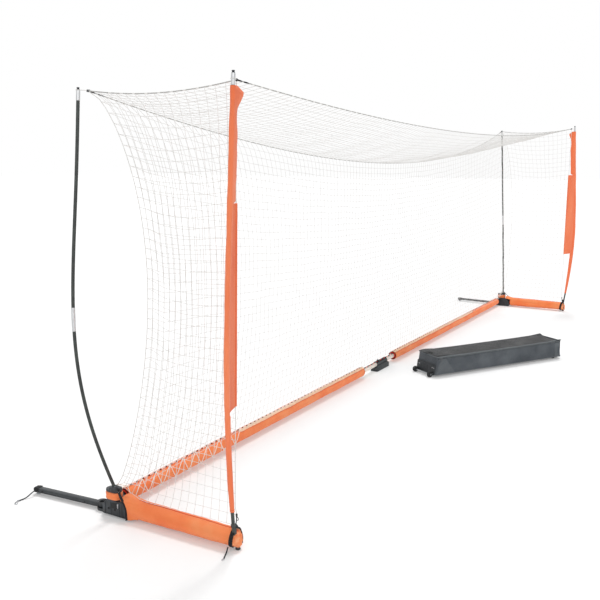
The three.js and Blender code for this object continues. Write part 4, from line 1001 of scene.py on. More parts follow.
def add_corner_ties(name, sign):
    """Tie from each top corner of the net to its pole tip, with a cord lock and a web tab."""
    tabs = Shape()
    ties = Shape()
    edge = 0 if sign < 0 else 1
    for bow, rope in ((FRONT_BOW, front_top), (REAR_BOW, rear_top)):
        corner = rope(edge)
        tip = bow_at(bow, sign, corner.z)
        ways = (tip - corner).normalized()
        collar = tip - ways * mm(10)
        ties.tube([corner, corner.lerp(collar, 0.5) + UP * mm(1), collar], mm(1.6), 8)
        ring = [tip + Vector((cos, sin, 0)) * mm(10.4) for cos, sin in circle(20)]
        ties.tube(ring, mm(1.5), 6, closed=True)
        share = mm(88) / (2 * REAR_CORNER_X)
        along = [rope(edge - sign * share * i / 9) for i in range(10)]
        tabs.tube(along[:5], [mm(3.4), mm(4.6), mm(4.8), mm(4.6), mm(3)], 10, flat=0.7)
        tabs.tube(along[5:], [mm(3), mm(4.2), mm(4.4), mm(4), mm(2.8)], 10, flat=0.7)
        lock = corner + (along[1] - corner) * 0.2
        tabs.turned(in_mm((-8, 4), (-7, 5.6), (-2, 6), (-1, 4.8), (1, 4.8), (2, 6), (7, 5.4), (8, 3.6)),
                    lock, ways, 16, slot=1)
    tabs.piece(f"net_corner_tabs_{name}", ("web", "black"))
    ties.piece(f"net_corner_ties_{name}", "wrap")


def add_lacing(name, sign):
    """Hem tape of the rear net along the pad's top, laced round the pad near the hub."""
    low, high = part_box(f"rear_pad_{name}")
    outer, inner = (high[0], low[0]) if sign > 0 else (low[0], high[0])
    pitch = mm(109)
    turns = 9 if sign < 0 else 0
    plain = mm(900)
    lace = Shape()
    ring = REAR_PAD_RADIUS + mm(2)

    def on_pad(x, angle):
        turn = math.radians(angle)
        return Vector((x, ring * math.cos(turn), BAR_Z + ring * math.sin(turn)))

    def wrap(start, run, bow, from_angle, to_angle):
        shares = [i / 16 for i in range(17)]
        lace.tube([on_pad(start - sign * (run * share - bow * math.sin(math.pi * share)),
                          lerp(from_angle, to_angle, share)) for share in shares], mm(2.2), 6)

    for turn in range(turns):
        begin = outer - sign * (mm(22) + pitch * turn)
        wrap(begin, mm(16), mm(20), 98, 222)
        wrap(begin - sign * mm(16), pitch - mm(16), mm(22), 222, 98)
    hem = [Vector((lerp(low[0], high[0], i / 60), mm(-2), BAR_Z + ring + mm(0.6)))
           for i in range(61)]
    lace.tube(hem, mm(2.2), 8)
    # dark red dots on the hem cord: whipping
    for start in range(1, 60):
        lace.tube([hem[start], hem[start].lerp(hem[start + 1], 0.3)], mm(2.9), 8, slot=1)
    laced = outer - sign * max(pitch * turns, plain)

    def tape_line(share):
        """The wavy line at that share of the tape's width, from its fold on the pad's crest."""
        line = []
        for i in range(91):
            wave = 3 * ripple((i, 0, 0), 9, 3) + 2 * ripple((i, 1, 0), 3, 5)
            line.append(on_pad(lerp(laced, inner, i / 90), lerp(100, 131 + wave, share)))
        return line

    lace.sheet([tape_line(share) for share in (0, 0.33, 0.67, 1)], mm(1.2), slot=2)
    # darker orange line below the tape's edge: painted shade under the tape's fold
    lace.tube(tape_line(1.06), mm(1.6), 6, slot=3)
    lace.piece(f"net_foot_lacing_{name}", ("lacing", "shade_and_whipping", "tape", "seam_shade_orange"))


def add_mouth_foot(name, sign):
    """Hook, elastic and knot that hold the foot of the net's mouth edge to the socket."""
    rope_end = Vector((sign * MOUTH_FOOT.x, MOUTH_FOOT.y, MOUTH_FOOT.z))
    foot = rope_end + mm(0, -7, -32)
    socket = Vector((sign * (HALF_WIDTH + SOCKET_OUT), -GOAL_DEPTH, BAR_Z + mm(62)))
    fittings = Shape()
    fittings.tube(spline([rope_end, rope_end.lerp(foot, 0.6), foot], 6), mm(1.7), 8, slot=2)
    hook_low = foot - UP * mm(22)
    fittings.tube([foot, foot.lerp(hook_low, 0.2), foot.lerp(hook_low, 0.6), hook_low],
                  [mm(3), mm(5), mm(4.4), mm(3)], 10, flat=0.8)
    bend = [mm(-3, -2, 3), mm(-7, -4, -4), mm(-6, -4, -11), mm(-1, -1, -10)]
    curl = [hook_low + step for step in mirrored(bend, sign)] + [hook_low - UP * mm(3)]
    fittings.tube(spline(curl, 16), mm(1.6), 8)
    join = socket + Vector((sign * mm(-7), mm(-5), mm(6)))
    fittings.tube(spline([hook_low, hook_low.lerp(join, 0.5) - UP * mm(3), join], 14), mm(2.3), 8,
                  slot=1)
    for lift in (-5, 1):
        coil = [socket + Vector((cos * mm(12.6), sin * mm(12.6), mm(lift) + mm(2) * sin))
                for cos, sin in circle(24)]
        fittings.tube(coil, mm(2.3), 8, slot=1, closed=True)
    knot_centre = socket + Vector((sign * mm(-11), mm(-8), mm(-7)))
    fittings.turned(in_mm((-6, 2), (-4, 4.4), (0, 5.4), (4, 4.4), (6, 2)),
                    knot_centre, (1, 1, 0.4), 14, slot=1)
    fittings.piece(f"mouth_edge_hook_{name}", ("black", "black_cord", "wrap"))


def add_tie_strap(name, sign):
    """Doubled strap round the front end of the side pad."""
    strap = Shape()
    reach = SIDE_PAD_RADIUS * CUFF + mm(2.4)
    for shift in (-5.2, 5.2):
        loop = []
        for step in range(48):
            angle = 2 * math.pi * step / 48
            y = mm(-719 + shift) - mm(7) * math.cos(angle) - mm(12) * max(sign * math.sin(angle), 0)
            loop.append(Vector((sign * HALF_WIDTH + math.sin(angle) * reach, y,
                                BAR_Z + math.cos(angle) * reach)))
        strap.tube(loop, mm(5), 8, closed=True, flat=0.42)
    trail = [(6, -737, 97), (17, -742, 88), (24, -746, 68), (25, -749, 46), (20, -750, 24)]
    strap.tube(spline([Vector((sign * (HALF_WIDTH - mm(across)), mm(y), mm(z)))
                       for across, y, z in trail], 16), mm(2.4), 8)
    strap.dress(f"tie_strap_{name}", "web")


# ---- Hubs, legs, sockets and coupler -------------------------------------------------

HUB_HALF = mm(42)
HUB_BACK = mm(26)
HUB_TOP = mm(146)
TOWER_RADIUS = mm(25)
TOWER_FRONT = mm(-74)
TOWER_BACK = mm(6)
LEG_PIVOT_Y = mm(66)
LUG_RADIUS = mm(24)
LEG_LENGTH = mm(428)
LEG_HALF_WIDTH = mm(16.5)
LEG_SPLAY = 4.6                  # degrees outward at rest


def tower_ring(sign, grow, z):
    """Round-ended outline of the hub's tower, made wider by grow."""
    x = sign * (HALF_WIDTH + HUB_HALF - TOWER_RADIUS)
    ring = []
    for centre_y, start in ((TOWER_BACK - TOWER_RADIUS, 0), (TOWER_FRONT + TOWER_RADIUS, 180)):
        for step in range(13):
            angle = math.radians(start + 180 * step / 12)
            ring.append(Vector((x + (TOWER_RADIUS + grow) * math.cos(angle),
                                centre_y + (TOWER_RADIUS + grow) * math.sin(angle), z)))
    return ring


def add_hub(name, sign):
    x = sign * HALF_WIDTH
    outer = x + sign * HUB_HALF
    inner = x - sign * HUB_HALF
    hub = Shape()
    hub.block((x - mm(30), mm(-128), 0), (x + mm(30), HUB_BACK, mm(12)), mm(2))
    outline = [(26, 10), (26, 48), (22, 56), (6, 76), (-2, 83), (-10, 84), (-96, 84), (-112, 81),
               (-126, 72), (-136, 56), (-140, 40), (-140, 14), (-136, 10)]
    cross = (-57, 40)
    rings = []
    for across, size in ((-42, 0.94), (-41, 0.975), (-38, 1), (38, 1), (41, 0.975), (42, 0.94)):
        rings.append([Vector((x + mm(across), mm(lerp(cross[0], y, size)),
                              mm(lerp(cross[1], z, size)))) for y, z in outline])
    hub.rings(rings)
    tower = ((mm(76), mm(3)), (mm(84), mm(1)), (mm(88), 0), (mm(124), 0), (mm(127), mm(2.6)),
             (mm(133), mm(2.8)), (mm(136), mm(1.2)), (mm(136.4), mm(-3)))
    hub.rings([tower_ring(sign, grow, z) for z, grow in tower])
    boss = Vector((sign * HUB_BOSS.x, HUB_BOSS.y, HUB_TOP))
    hub.turned(in_mm((-14, 21), (-9, 20.6), (-2, 18), (3, 15.6), (7, 14), (10, 13), (11, 11),
                     (11.4, 8.8)),
               boss, (0, 0, 1), 28)
    wing = Matrix.Translation(boss) @ Matrix.Rotation(math.radians(-sign * 24), 4, "Z")
    hub.block(mm(-4, -31, -13), mm(4, -8, 4), mm(2), turn=wing)
    hub.block(mm(-4, 8, -13), mm(4, 25, 2), mm(2), turn=wing)
    cleat = Matrix.Translation((sign * NET_FOOT.x, NET_FOOT.y, 0))
    hub.block((mm(-7), mm(-24), HUB_TOP - mm(13)), (mm(7), mm(8), HUB_TOP + mm(2)), mm(3), turn=cleat)

    def on_face(y_low, y_high, z_low, z_high, proud):
        """A rib on the hub's outer face, in millimetres."""
        edges = sorted((outer - sign * mm(3), outer + sign * mm(proud)))
        hub.block((edges[0], mm(y_low), mm(z_low)), (edges[1], mm(y_high), mm(z_high)), mm(1))

    on_face(-134, 20, 10, 14, 1.6)
    on_face(-128, -10, 78, 82, 1.6)
    for y, top in ((-122, 70), (-100, 80), (-84, 80), (-30, 80), (6, 70)):
        on_face(y - 2, y + 2, 12, top, 1.8)
    for z_low, z_high in ((0, 14.4), (36.8, 44.6)):
        hub.turned([(mm(z_low), LUG_RADIUS - mm(1)), (mm(z_low + 0.6), LUG_RADIUS),
                    (mm(z_high - 0.8), LUG_RADIUS), (mm(z_high), LUG_RADIUS - mm(1))],
                   (x, LEG_PIVOT_Y, 0), (0, 0, 1), 32)
        hub.block((x - LUG_RADIUS, HUB_BACK - mm(6), mm(z_low)),
                  (x + LUG_RADIUS, LEG_PIVOT_Y, mm(z_high)), mm(0.6))
    hub.turned(in_mm((-2, 24), (3, 24), (4, 22.6), (4, 18)),
               (inner, 0, BAR_Z), (-sign, 0, 0), 28)
    hub.dress(f"hub_{name}", "hub", smooth=35)

    bolts = Shape()
    bolts.turned(in_mm((0, 3.2), (1, 4), (22, 4), (23, 3)),
                 (outer + sign * mm(1.4), mm(-78), mm(52)), (0, 0, 1), 14)
    for y, z in ((-56, 40), (-16, 40)):
        centre = (outer - sign * mm(0.4), mm(y), mm(z))
        bolts.turned(in_mm((0, 6), (1, 6), (1.6, 5)), centre, (sign, 0, 0), 20, slot=1)
        bolts.turned(in_mm((1, 4), (3.4, 4), (4, 3.4)), centre, (sign, 0, 0), 6,
                     slot=1)
    bolts.block((min(outer, outer + sign * mm(1.6)), mm(-72), mm(46)),
                (max(outer, outer + sign * mm(1.6)), mm(-36), mm(76)), mm(0.7), slot=1)
    bolts.piece(f"hub_bolts_{name}", ("zinc", "rubber"))

    band = Shape()
    profile = ((87.4, 0.6), (88.6, 3), (95, 4.2), (104, 3.4), (113, 4.4), (120, 3.2), (122.6, 0.6))
    band.rings([tower_ring(sign, mm(grow), mm(z)) for z, grow in profile])
    for z in (91, 119):
        band.tube(tower_ring(sign, mm(3.6), mm(z)), mm(0.8), 5, slot=1, closed=True)
    band.dress(f"hub_band_{name}", ("orange", "thread"), smooth=50)

    strap = Shape()
    skin = outer + sign * mm(3.6)
    skirt = outer + sign * mm(7)
    route = [(outer - sign * mm(26), mm(-58), mm(138)), (outer - sign * mm(12), mm(-76), mm(133)),
             (outer - sign * mm(3), mm(-90), mm(120)), (skin, mm(-108), mm(104)),
             (skirt, mm(-124), mm(86)), (skirt, mm(-134), mm(62)), (skirt, mm(-136), mm(34)),
             (skirt - sign * mm(2), mm(-134), mm(8))]
    strap.tube(spline(route, 32), mm(6), 8, flat=0.42)
    strap.piece(f"hub_strap_{name}", "web")

    cord = Shape()
    low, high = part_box(f"rear_pad_{name}")
    pad_end = high[0] if sign > 0 else low[0]
    foot = Vector((sign * NET_FOOT.x, NET_FOOT.y, NET_FOOT.z))
    cord.tube(spline([(pad_end - sign * mm(26), mm(-8), BAR_Z + REAR_PAD_RADIUS + mm(2)),
                      (pad_end + sign * mm(8), mm(-16), mm(112)),
                      (outer - sign * mm(7), mm(-79), mm(131))], 20), mm(2.4), 8)
    cord.tube(spline([(pad_end + sign * mm(8), mm(-16), mm(112)), foot + UP * mm(6), foot], 12),
              mm(2), 8)
    cord.piece(f"net_foot_cord_{name}", "lacing")


def add_leg(name, sign):
    low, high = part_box(f"leg_{name}")
    pivot = Vector((sign * HALF_WIDTH, LEG_PIVOT_Y, 0))
    place = Matrix.Translation(pivot) @ Matrix.Rotation(math.radians(-sign * LEG_SPLAY), 4, "Z")
    bottom, top = low[2], high[2]
    half, length = LEG_HALF_WIDTH, LEG_LENGTH
    leg = Shape()
    leg.block((-half, mm(8), bottom), (half, length, top), mm(4), steps=3, turn=place)
    leg.turned([(bottom, half - mm(1)), (bottom + mm(1), half), (top - mm(1), half),
                (top, half - mm(1))], pivot, (0, 0, 1), 32)
    for edge in (-1, 1):
        leg.block((edge * half - mm(1.6), mm(10), bottom + mm(1)),
                  (edge * half + mm(1.4), length - mm(36), bottom + mm(4)), mm(1), turn=place)
    leg.block((mm(-9), mm(26), top - mm(1)), (mm(9), length - mm(40), top + mm(0.5)), mm(0.7),
              turn=place)
    leg.dress(f"leg_{name}", "bar", smooth=35, body=f"leg_{name}")

    studs = Shape()
    for along in (96, 372):
        for edge in (-1, 1):
            centre = place @ Vector((edge * half, mm(along), (bottom + top) / 2))
            way = place.to_3x3() @ Vector((edge, 0, 0))
            studs.turned(in_mm((-1, 4), (1.2, 4), (2, 3), (2.2, 1)),
                         centre, way, 16)
    studs.piece(f"leg_buttons_{name}", "rubber", body=f"leg_{name}")

    foot = Shape()
    grip = mm(2.4)
    foot.block((-half - grip, length - mm(34), bottom - grip), (half + grip, length + grip, top + grip),
               mm(7), steps=4, turn=place)
    for ridge in range(3):
        y = length - mm(26 - 7 * ridge)
        foot.block((-half - grip - mm(0.6), y - mm(1.2), bottom), (half + grip + mm(0.6), y + mm(1.2),
                   top + grip + mm(0.5)), mm(0.9), turn=place)
    foot.turned(in_mm((0, 9.4), (1, 11), (4, 11), (6, 8.6), (14, 8.6)),
                place @ Vector((0, length - mm(16), 0)), (0, 0, 1), 24, slot=1)
    foot.dress(f"leg_foot_{name}", ("rubber", "peg"), smooth=35, body=f"leg_{name}")

    pin = Shape()
    low_pin, high_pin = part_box(f"leg_pin_{name}")
    pin.turned([(low_pin[2], mm(5)), (mm(44.8), mm(5)), (mm(44.8), mm(12)), (mm(46), mm(12))],
               (pivot.x, pivot.y, 0), (0, 0, 1), 24)
    pin.turned([(mm(45.6), mm(9.4)), (mm(49), mm(9.4)), (high_pin[2], mm(8))],
               (pivot.x, pivot.y, 0), (0, 0, 1), 6)
    pin.dress(f"leg_pin_{name}", "black")


def add_front_socket(name, sign):
    x = sign * HALF_WIDTH
    tube_x = sign * (HALF_WIDTH + SOCKET_OUT)
    socket = Shape()
    body = [(-20, 14), (-19, 16), (-4, 22), (6, 30), (30, 30), (40, 28), (42, 25)]
    socket.turned(in_mm(*body), (x, -GOAL_DEPTH, BAR_Z),
                  (0, 1, 0), 28)
    collar = [(0, 11), (50, 11), (52, 12), (60, 12), (62, 11), (63.8, 10), (64, 8.4)]
    socket.turned(in_mm(*collar), (tube_x, -GOAL_DEPTH, BAR_Z),
                  (0, 0, 1), 28)
    foot = [(0, 10), (1, 11.4), (6, 11.4), (8, 10), (40, 10)]
    socket.turned(in_mm(*foot), (x, mm(-740), 0), (0, 0, 1), 24)
    socket.dress(f"front_socket_{name}", "black", smooth=35)


def add_bars():
    for name, _ in SIDES:
        for node in (f"rear_bar_{name}", f"side_bar_{name}"):
            low, high = (Vector(corner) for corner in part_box(node))
            centre = (low + high) / 2
            ends = ((low.x, 0, BAR_Z), (high.x, 0, BAR_Z))
            if node.startswith("side"):
                ends = ((centre.x, low.y, BAR_Z), (centre.x, high.y, BAR_Z))
            bar = Shape()
            bar.tube(ends, BAR_RADIUS, 32)
            bar.dress(node, "bar")


def add_coupler():
    """The centre joint: a block foot under a sleeve, with a knob, studs and a dotted cord."""
    low, high = (Vector(corner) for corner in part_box("centre_coupler"))
    centre_x = (low.x + high.x) / 2
    coupler = Shape()
    wedge = []
    for z, inset in ((0, 2), (3, 0), (30, 0), (38, 5), (42, 12)):
        ring = []
        for cx, cy, start in ((1, 1, 0), (-1, 1, 90), (-1, -1, 180), (1, -1, 270)):
            for step in range(4):
                angle = math.radians(start + 90 * step / 3)
                rounding = mm(9)
                half_x = (high.x - low.x) / 2 - mm(inset) - rounding
                half_y = (high.y - low.y) / 2 - mm(inset) * 0.6 - rounding
                ring.append(Vector((centre_x + cx * half_x + rounding * math.cos(angle),
                                    cy * half_y + rounding * math.sin(angle), mm(z))))
        wedge.append(ring)
    coupler.rings(wedge)
    sleeve = [(-95, 18), (-94, 21.9), (-84, 22.4), (-80, 21.2), (80, 21.2), (84, 22.4), (94, 21.9),
              (95, 18)]
    coupler.turned(in_mm(*sleeve), (centre_x, 0, BAR_Z),
                   (1, 0, 0), 32)
    for shift in (-70, -35, 35, 70):
        coupler.block((centre_x + mm(shift - 3), mm(-33.2), mm(5)),
                      (centre_x + mm(shift + 3), mm(-29), mm(36)), mm(1.2))
    coupler.dress("centre_coupler", "black", smooth=35)

    knob = Shape()
    knob.turned(in_mm((20, 5), (23, 5), (24, 12), (27, 14), (33, 14), (36, 11), (37, 5)),
                (centre_x - mm(70), 0, BAR_Z), (0, -0.5, 0.87), 28)
    for shift in range(-3, 4):
        knob.turned(in_mm((20.6, 3.6), (22.4, 3.4), (23.2, 2)),
                    (centre_x + mm(14 * shift), 0, BAR_Z), (0, -0.7, 0.7), 14)
    knob.piece("coupler_knob", "rubber")

    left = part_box("rear_pad_left")[1][0]
    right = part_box("rear_pad_right")[0][0]
    marks = Shape()
    lift = BAR_RADIUS + mm(7)
    count = 9
    for index in range(count):
        start = lerp(left, right, (index + 0.2) / count)
        stop = lerp(left, right, (index + 0.75) / count)
        marks.tube([(start, mm(-13), BAR_Z + lift), (stop, mm(-13), BAR_Z + lift)], mm(3.6), 8)
    marks.tube([(lerp(left, right, i / 20), mm(-13), BAR_Z + lift) for i in range(21)], mm(2.4), 8,
               slot=1)
    for start, stop in ((left, centre_x - mm(95)), (centre_x + mm(95), right)):
        marks.turned([(0, BAR_RADIUS), (mm(2), BAR_RADIUS + mm(1.6)),
                      (stop - start - mm(2), BAR_RADIUS + mm(1.6)), (stop - start, BAR_RADIUS)],
                     (start, 0, BAR_Z), (1, 0, 0), 28, slot=2)
    marks.piece("coupler_cord", ("black_cord", "foam", "lacing"))


# ---- Carry bag -----------------------------------------------------------------------

BAG = Matrix.Translation(BAG_CENTRE) @ Matrix.Rotation(BAG_TURN, 4, "Z")
BAG_WALL = mm(3.5)
PATCH_TOP = mm(140)              # the corner patches end under the zip slider
AXLE_X = -BAG_HALF_LENGTH - mm(30)
WHEEL_OFFSET = 95                # millimetres from the bag's middle line to each wheel


def bag_height(z):
    """A height as a share of the way from the bag's floor to its rim."""
    return (z - BAG_FLOOR) / (BAG_RIM - BAG_FLOOR)


def bag_lean(z):
    """How far the wheel end leans in at a height."""
    return mm(22) * bag_height(z) ** 1.2


def bag_outline(inset, lean):
    """Points round the bag's plan, anticlockwise, drawn in by an inset and the wheel end's lean."""
    x0, x1 = -BAG_HALF_LENGTH + inset + lean, BAG_HALF_LENGTH - inset - lean * 0.3
    y0, y1 = -BAG_HALF_WIDTH + inset, BAG_HALF_WIDTH - inset
    size = max(mm(16) - inset, mm(3))
    points = []
    corners = ((x1 - size, y1 - size, 0), (x0 + size, y1 - size, 90), (x0 + size, y0 + size, 180),
               (x1 - size, y0 + size, 270))
    for index, (cx, cy, start) in enumerate(corners):
        for step in range(6):
            angle = math.radians(start + 90 * step / 5)
            points.append(Vector((cx + size * math.cos(angle), cy + size * math.sin(angle), 0)))
        after = corners[(index + 1) % 4]
        begin = points[-1].copy()
        angle = math.radians(after[2])
        stop = Vector((after[0] + size * math.cos(angle), after[1] + size * math.sin(angle), 0))
        count = 40 if index % 2 == 0 else 8
        for step in range(1, count):
            points.append(begin.lerp(stop, step / count))
    return points


def bag_sag(point):
    """How far the bag's upper edge hangs below its full height."""
    share = (point.x + BAG_HALF_LENGTH) / (2 * BAG_HALF_LENGTH)
    return mm(3.5) * math.sin(math.pi * share) + mm(1.6) * ripple(point, 0.22, 4)


def bag_push(spot, belly):
    """How far the bag's wall stands out of its flat form, with long and short creases."""
    slack = mm(4.4) * ripple(spot, 0.16, 2)
    slack += mm(2.6) * ripple(Vector((spot.x * 1.6, spot.y, spot.z)), 0.05, 6)
    slack += mm(2.6) * ripple(Vector((spot.x + spot.z * 1.4, 0, 0)), 0.05, 9)
    return (slack - mm(4.4)) * belly


def on_bag(spot, normal, lift=0.0):
    """A spot of the bag's flat form, moved to the creased and sagging wall."""
    height = bag_height(spot.z)
    push = bag_push(spot, math.sin(math.pi * height)) + lift
    return BAG @ (spot + normal * push - UP * (bag_sag(spot) * height ** 2))


def add_bag_body():
    levels = [
        (mm(1), BAG_FLOOR + mm(1)), (0, BAG_FLOOR + mm(5)), (0, mm(40)), (0, mm(64)), (0, mm(88)),
        (0, mm(112)), (0, mm(134)), (0, mm(148)), (mm(0.6), BAG_RIM - mm(1)), (BAG_WALL, BAG_RIM - mm(1)),
        (BAG_WALL, mm(134)), (BAG_WALL, mm(88)), (BAG_WALL, mm(40)), (BAG_WALL, BAG_FLOOR + mm(5)),
    ]
    rings = []
    for inset, z in levels:
        ring = []
        for point in bag_outline(inset, bag_lean(z)):
            normal = Vector((0, 1 if point.y > 0 else -1, 0))
            if abs(point.x) > BAG_HALF_LENGTH - mm(30):
                normal = Vector((1 if point.x > 0 else -1, 0, 0))
            ring.append(on_bag(Vector((point.x, point.y, z)), normal))
        rings.append(ring)
    body = Shape()
    count = len(rings[0])
    body.rings(rings, caps=False)
    for ring, flip in ((rings[0], True), (rings[-1], False)):
        centre = sum(ring, Vector()) / count
        fan = [(index, (index + 1) % count, count) for index in range(count)]
        body.add(ring + [centre], [face[::-1] if flip else face for face in fan])
    body.dress("bag_body", "canvas", smooth=60)


def bag_wall_point(x, z, side, lift):
    """A point just off the bag's long side."""
    return on_bag(Vector((x, side * BAG_HALF_WIDTH, z)), Vector((0, side, 0)), lift)


def add_bag_trim():
    """Corner patches, piping, skids and feet on the bag's shell."""
    patches = Shape()
    start = -BAG_HALF_LENGTH + mm(16)
    levels = [lerp(BAG_FLOOR + mm(8), PATCH_TOP, row / 14) for row in range(15)]
    for side in (-1, 1):
        near, far = [], []
        for row, z in enumerate(levels):
            reach = lerp(mm(178), mm(86), row / 14)
            near.append([bag_wall_point(lerp(start + bag_lean(z), start + reach, i / 10), z, side,
                                        mm(0.9)) for i in range(11)])
            far.append([bag_wall_point(lerp(BAG_HALF_LENGTH - mm(74), BAG_HALF_LENGTH - mm(18), i / 6),
                                       z, side, mm(0.9)) for i in range(7)])
        patches.sheet(near, mm(1.4))
        patches.sheet(far, mm(1.4))
    patches.piece("bag_corner_patches", "patch", smooth=60)

    seams = Shape()
    for z, size in ((BAG_FLOOR + mm(5), mm(2.6)), (BAG_RIM - mm(2.5), mm(2.2))):
        loop = []
        for point in bag_outline(mm(-0.4), bag_lean(z)):
            spot = Vector((point.x, point.y, z))
            loop.append(BAG @ (spot - UP * bag_sag(spot) * bag_height(z) ** 2))
        seams.tube(loop, size, 8, closed=True)
    seams.piece("bag_piping", "piping")

    skids = Shape()
    for side in (-1, 1):
        place = BAG @ Matrix.Translation((0, side * mm(92), 0))
        skids.block((-BAG_HALF_LENGTH + mm(30), mm(-9), BAG_FLOOR - mm(5)),
                    (BAG_HALF_LENGTH - mm(30), mm(9), BAG_FLOOR + mm(2)), mm(2.4), turn=place)
        foot = BAG @ Vector((BAG_HALF_LENGTH - mm(60), side * mm(90), 0))
        skids.turned(in_mm((0, 12), (1.4, 14), (10, 14), (14, 16)), foot,
                     (0, 0, 1), 24)
    skids.piece("bag_skids", "rubber")


def add_bag_lid():
    """Soft lid with a rolled edge that dips between its corners at the handle end."""
    base = BAG_RIM + mm(1)
    lid = Shape()
    wide, long = 14, 60
    rows_top = []
    x_low, x_high = -BAG_HALF_LENGTH + mm(23), BAG_HALF_LENGTH - mm(8)
    for i in range(long + 1):
        x = lerp(x_low, x_high, i / long)
        row = []
        for j in range(wide + 1):
            y = lerp(-BAG_HALF_WIDTH + mm(1), BAG_HALF_WIDTH - mm(1), j / wide)
            spot = Vector((x, y, base))
            edge = 1 - abs(2 * j / wide - 1) ** 3
            near_end = min((x - x_low) / mm(60), (x_high - x) / mm(60), 1)
            crown = mm(3) * edge * near_end + mm(3.2) * ripple(spot, 0.17, 12) * edge
            crown += mm(3) * ripple(Vector((x * 1.5, y, 0)), 0.055, 15) * edge
            crown += mm(2.4) * ripple(Vector((x + y * 0.8, 0, 0)), 0.045, 17) * edge
            far = math.exp(-(((x - x_high) / mm(80)) ** 2))
            dip = far * (mm(14) * edge - mm(7) * (1 - edge))
            sag = bag_sag(Vector((x, y, base)))
            row.append(BAG @ (spot + UP * (mm(1.6) + crown - dip - min(sag, mm(3)))))
        rows_top.append(row)
    lid.sheet(rows_top, mm(2.4))
    rim = ([row[0] for row in rows_top] + rows_top[-1][1:-1]
           + [row[-1] for row in rows_top][::-1] + rows_top[0][1:-1][::-1])
    lid.tube(rim, mm(2.6), 8, slot=1, closed=True)
    lid.dress("bag_lid", ("lid", "piping"), smooth=60, body="lid")

    flap = Shape()
    rows = []
    for i in range(9):
        x = lerp(x_low - mm(5), x_low + mm(128), i / 8)
        lift = mm(6.4) + mm(4) * math.sin(math.pi * (1 - i / 8) ** 1.6)
        rows.append([BAG @ Vector((x, lerp(-BAG_HALF_WIDTH + mm(4), BAG_HALF_WIDTH - mm(4), j / 10),
                                   base + lift + mm(2) * ripple((x, j * 0.03, 0), 0.05, 21)))
                     for j in range(11)])
    flap.sheet(rows, mm(2))
    grab = [(x_low + mm(18), mm(30), base + mm(5)), (x_low + mm(20), mm(22), base + mm(14)),
            (x_low + mm(22), 0, base + mm(17)), (x_low + mm(20), mm(-22), base + mm(14)),
            (x_low + mm(18), mm(-30), base + mm(5))]
    flap.tube([BAG @ point for point in spline(grab, 20)], mm(9), 8, flat=0.28)
    flap.piece("bag_lid_end_flap", "lid", smooth=60, body="lid")


def add_bag_zip():
    """Zip teeth, tape and slider along the near long side."""
    chain = Shape()
    tooth = mm(1.7)
    pitch = mm(4.4)
    count = int((2 * BAG_HALF_LENGTH - mm(60)) / pitch)
    for index in range(count):
        x = -BAG_HALF_LENGTH + mm(32) + pitch * index
        centre = bag_wall_point(x, BAG_RIM - mm(9), -1, mm(2.4))
        place = Matrix.Translation(centre) @ BAG.to_3x3().to_4x4()
        chain.block((-tooth * 0.6, -tooth * 0.6, -tooth * 1.5), (tooth * 0.6, tooth * 0.6, tooth * 1.5),
                    turn=place)
    chain.piece("bag_zip_teeth", "piping", smooth=30)

    tape = Shape()
    rows = []
    for row in range(3):
        z = BAG_RIM - mm(14) + mm(5) * row
        rows.append([bag_wall_point(lerp(-BAG_HALF_LENGTH + mm(26), BAG_HALF_LENGTH - mm(22), i / 90), z,
                                    -1, mm(1.5)) for i in range(91)])
    tape.sheet(rows, mm(1))
    tape.piece("bag_zip_tape", "web", smooth=60)

    low, high = (Vector(corner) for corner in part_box("zip_slider"))
    centre = (low + high) / 2
    inverse = BAG.inverted() @ centre
    slider = Shape()
    place = BAG @ Matrix.Translation((inverse.x, -BAG_HALF_WIDTH - mm(3.6), 0))
    slider.block((mm(-12), mm(-2.6), BAG_RIM - mm(15)), (mm(12), mm(2.4), BAG_RIM - mm(4.4)), mm(2),
                 turn=place)
    slider.block((mm(-4), mm(-7), BAG_RIM - mm(15)), (mm(4), mm(-1), BAG_RIM - mm(6)), mm(1.2),
                 turn=place)
    slider.block((mm(-4.6), mm(-6.8), BAG_RIM - mm(37)), (mm(4.6), mm(-4.8), BAG_RIM - mm(13)), mm(0.9),
                 turn=place)
    slider.dress("zip_slider", "dark_zinc", body="zip")


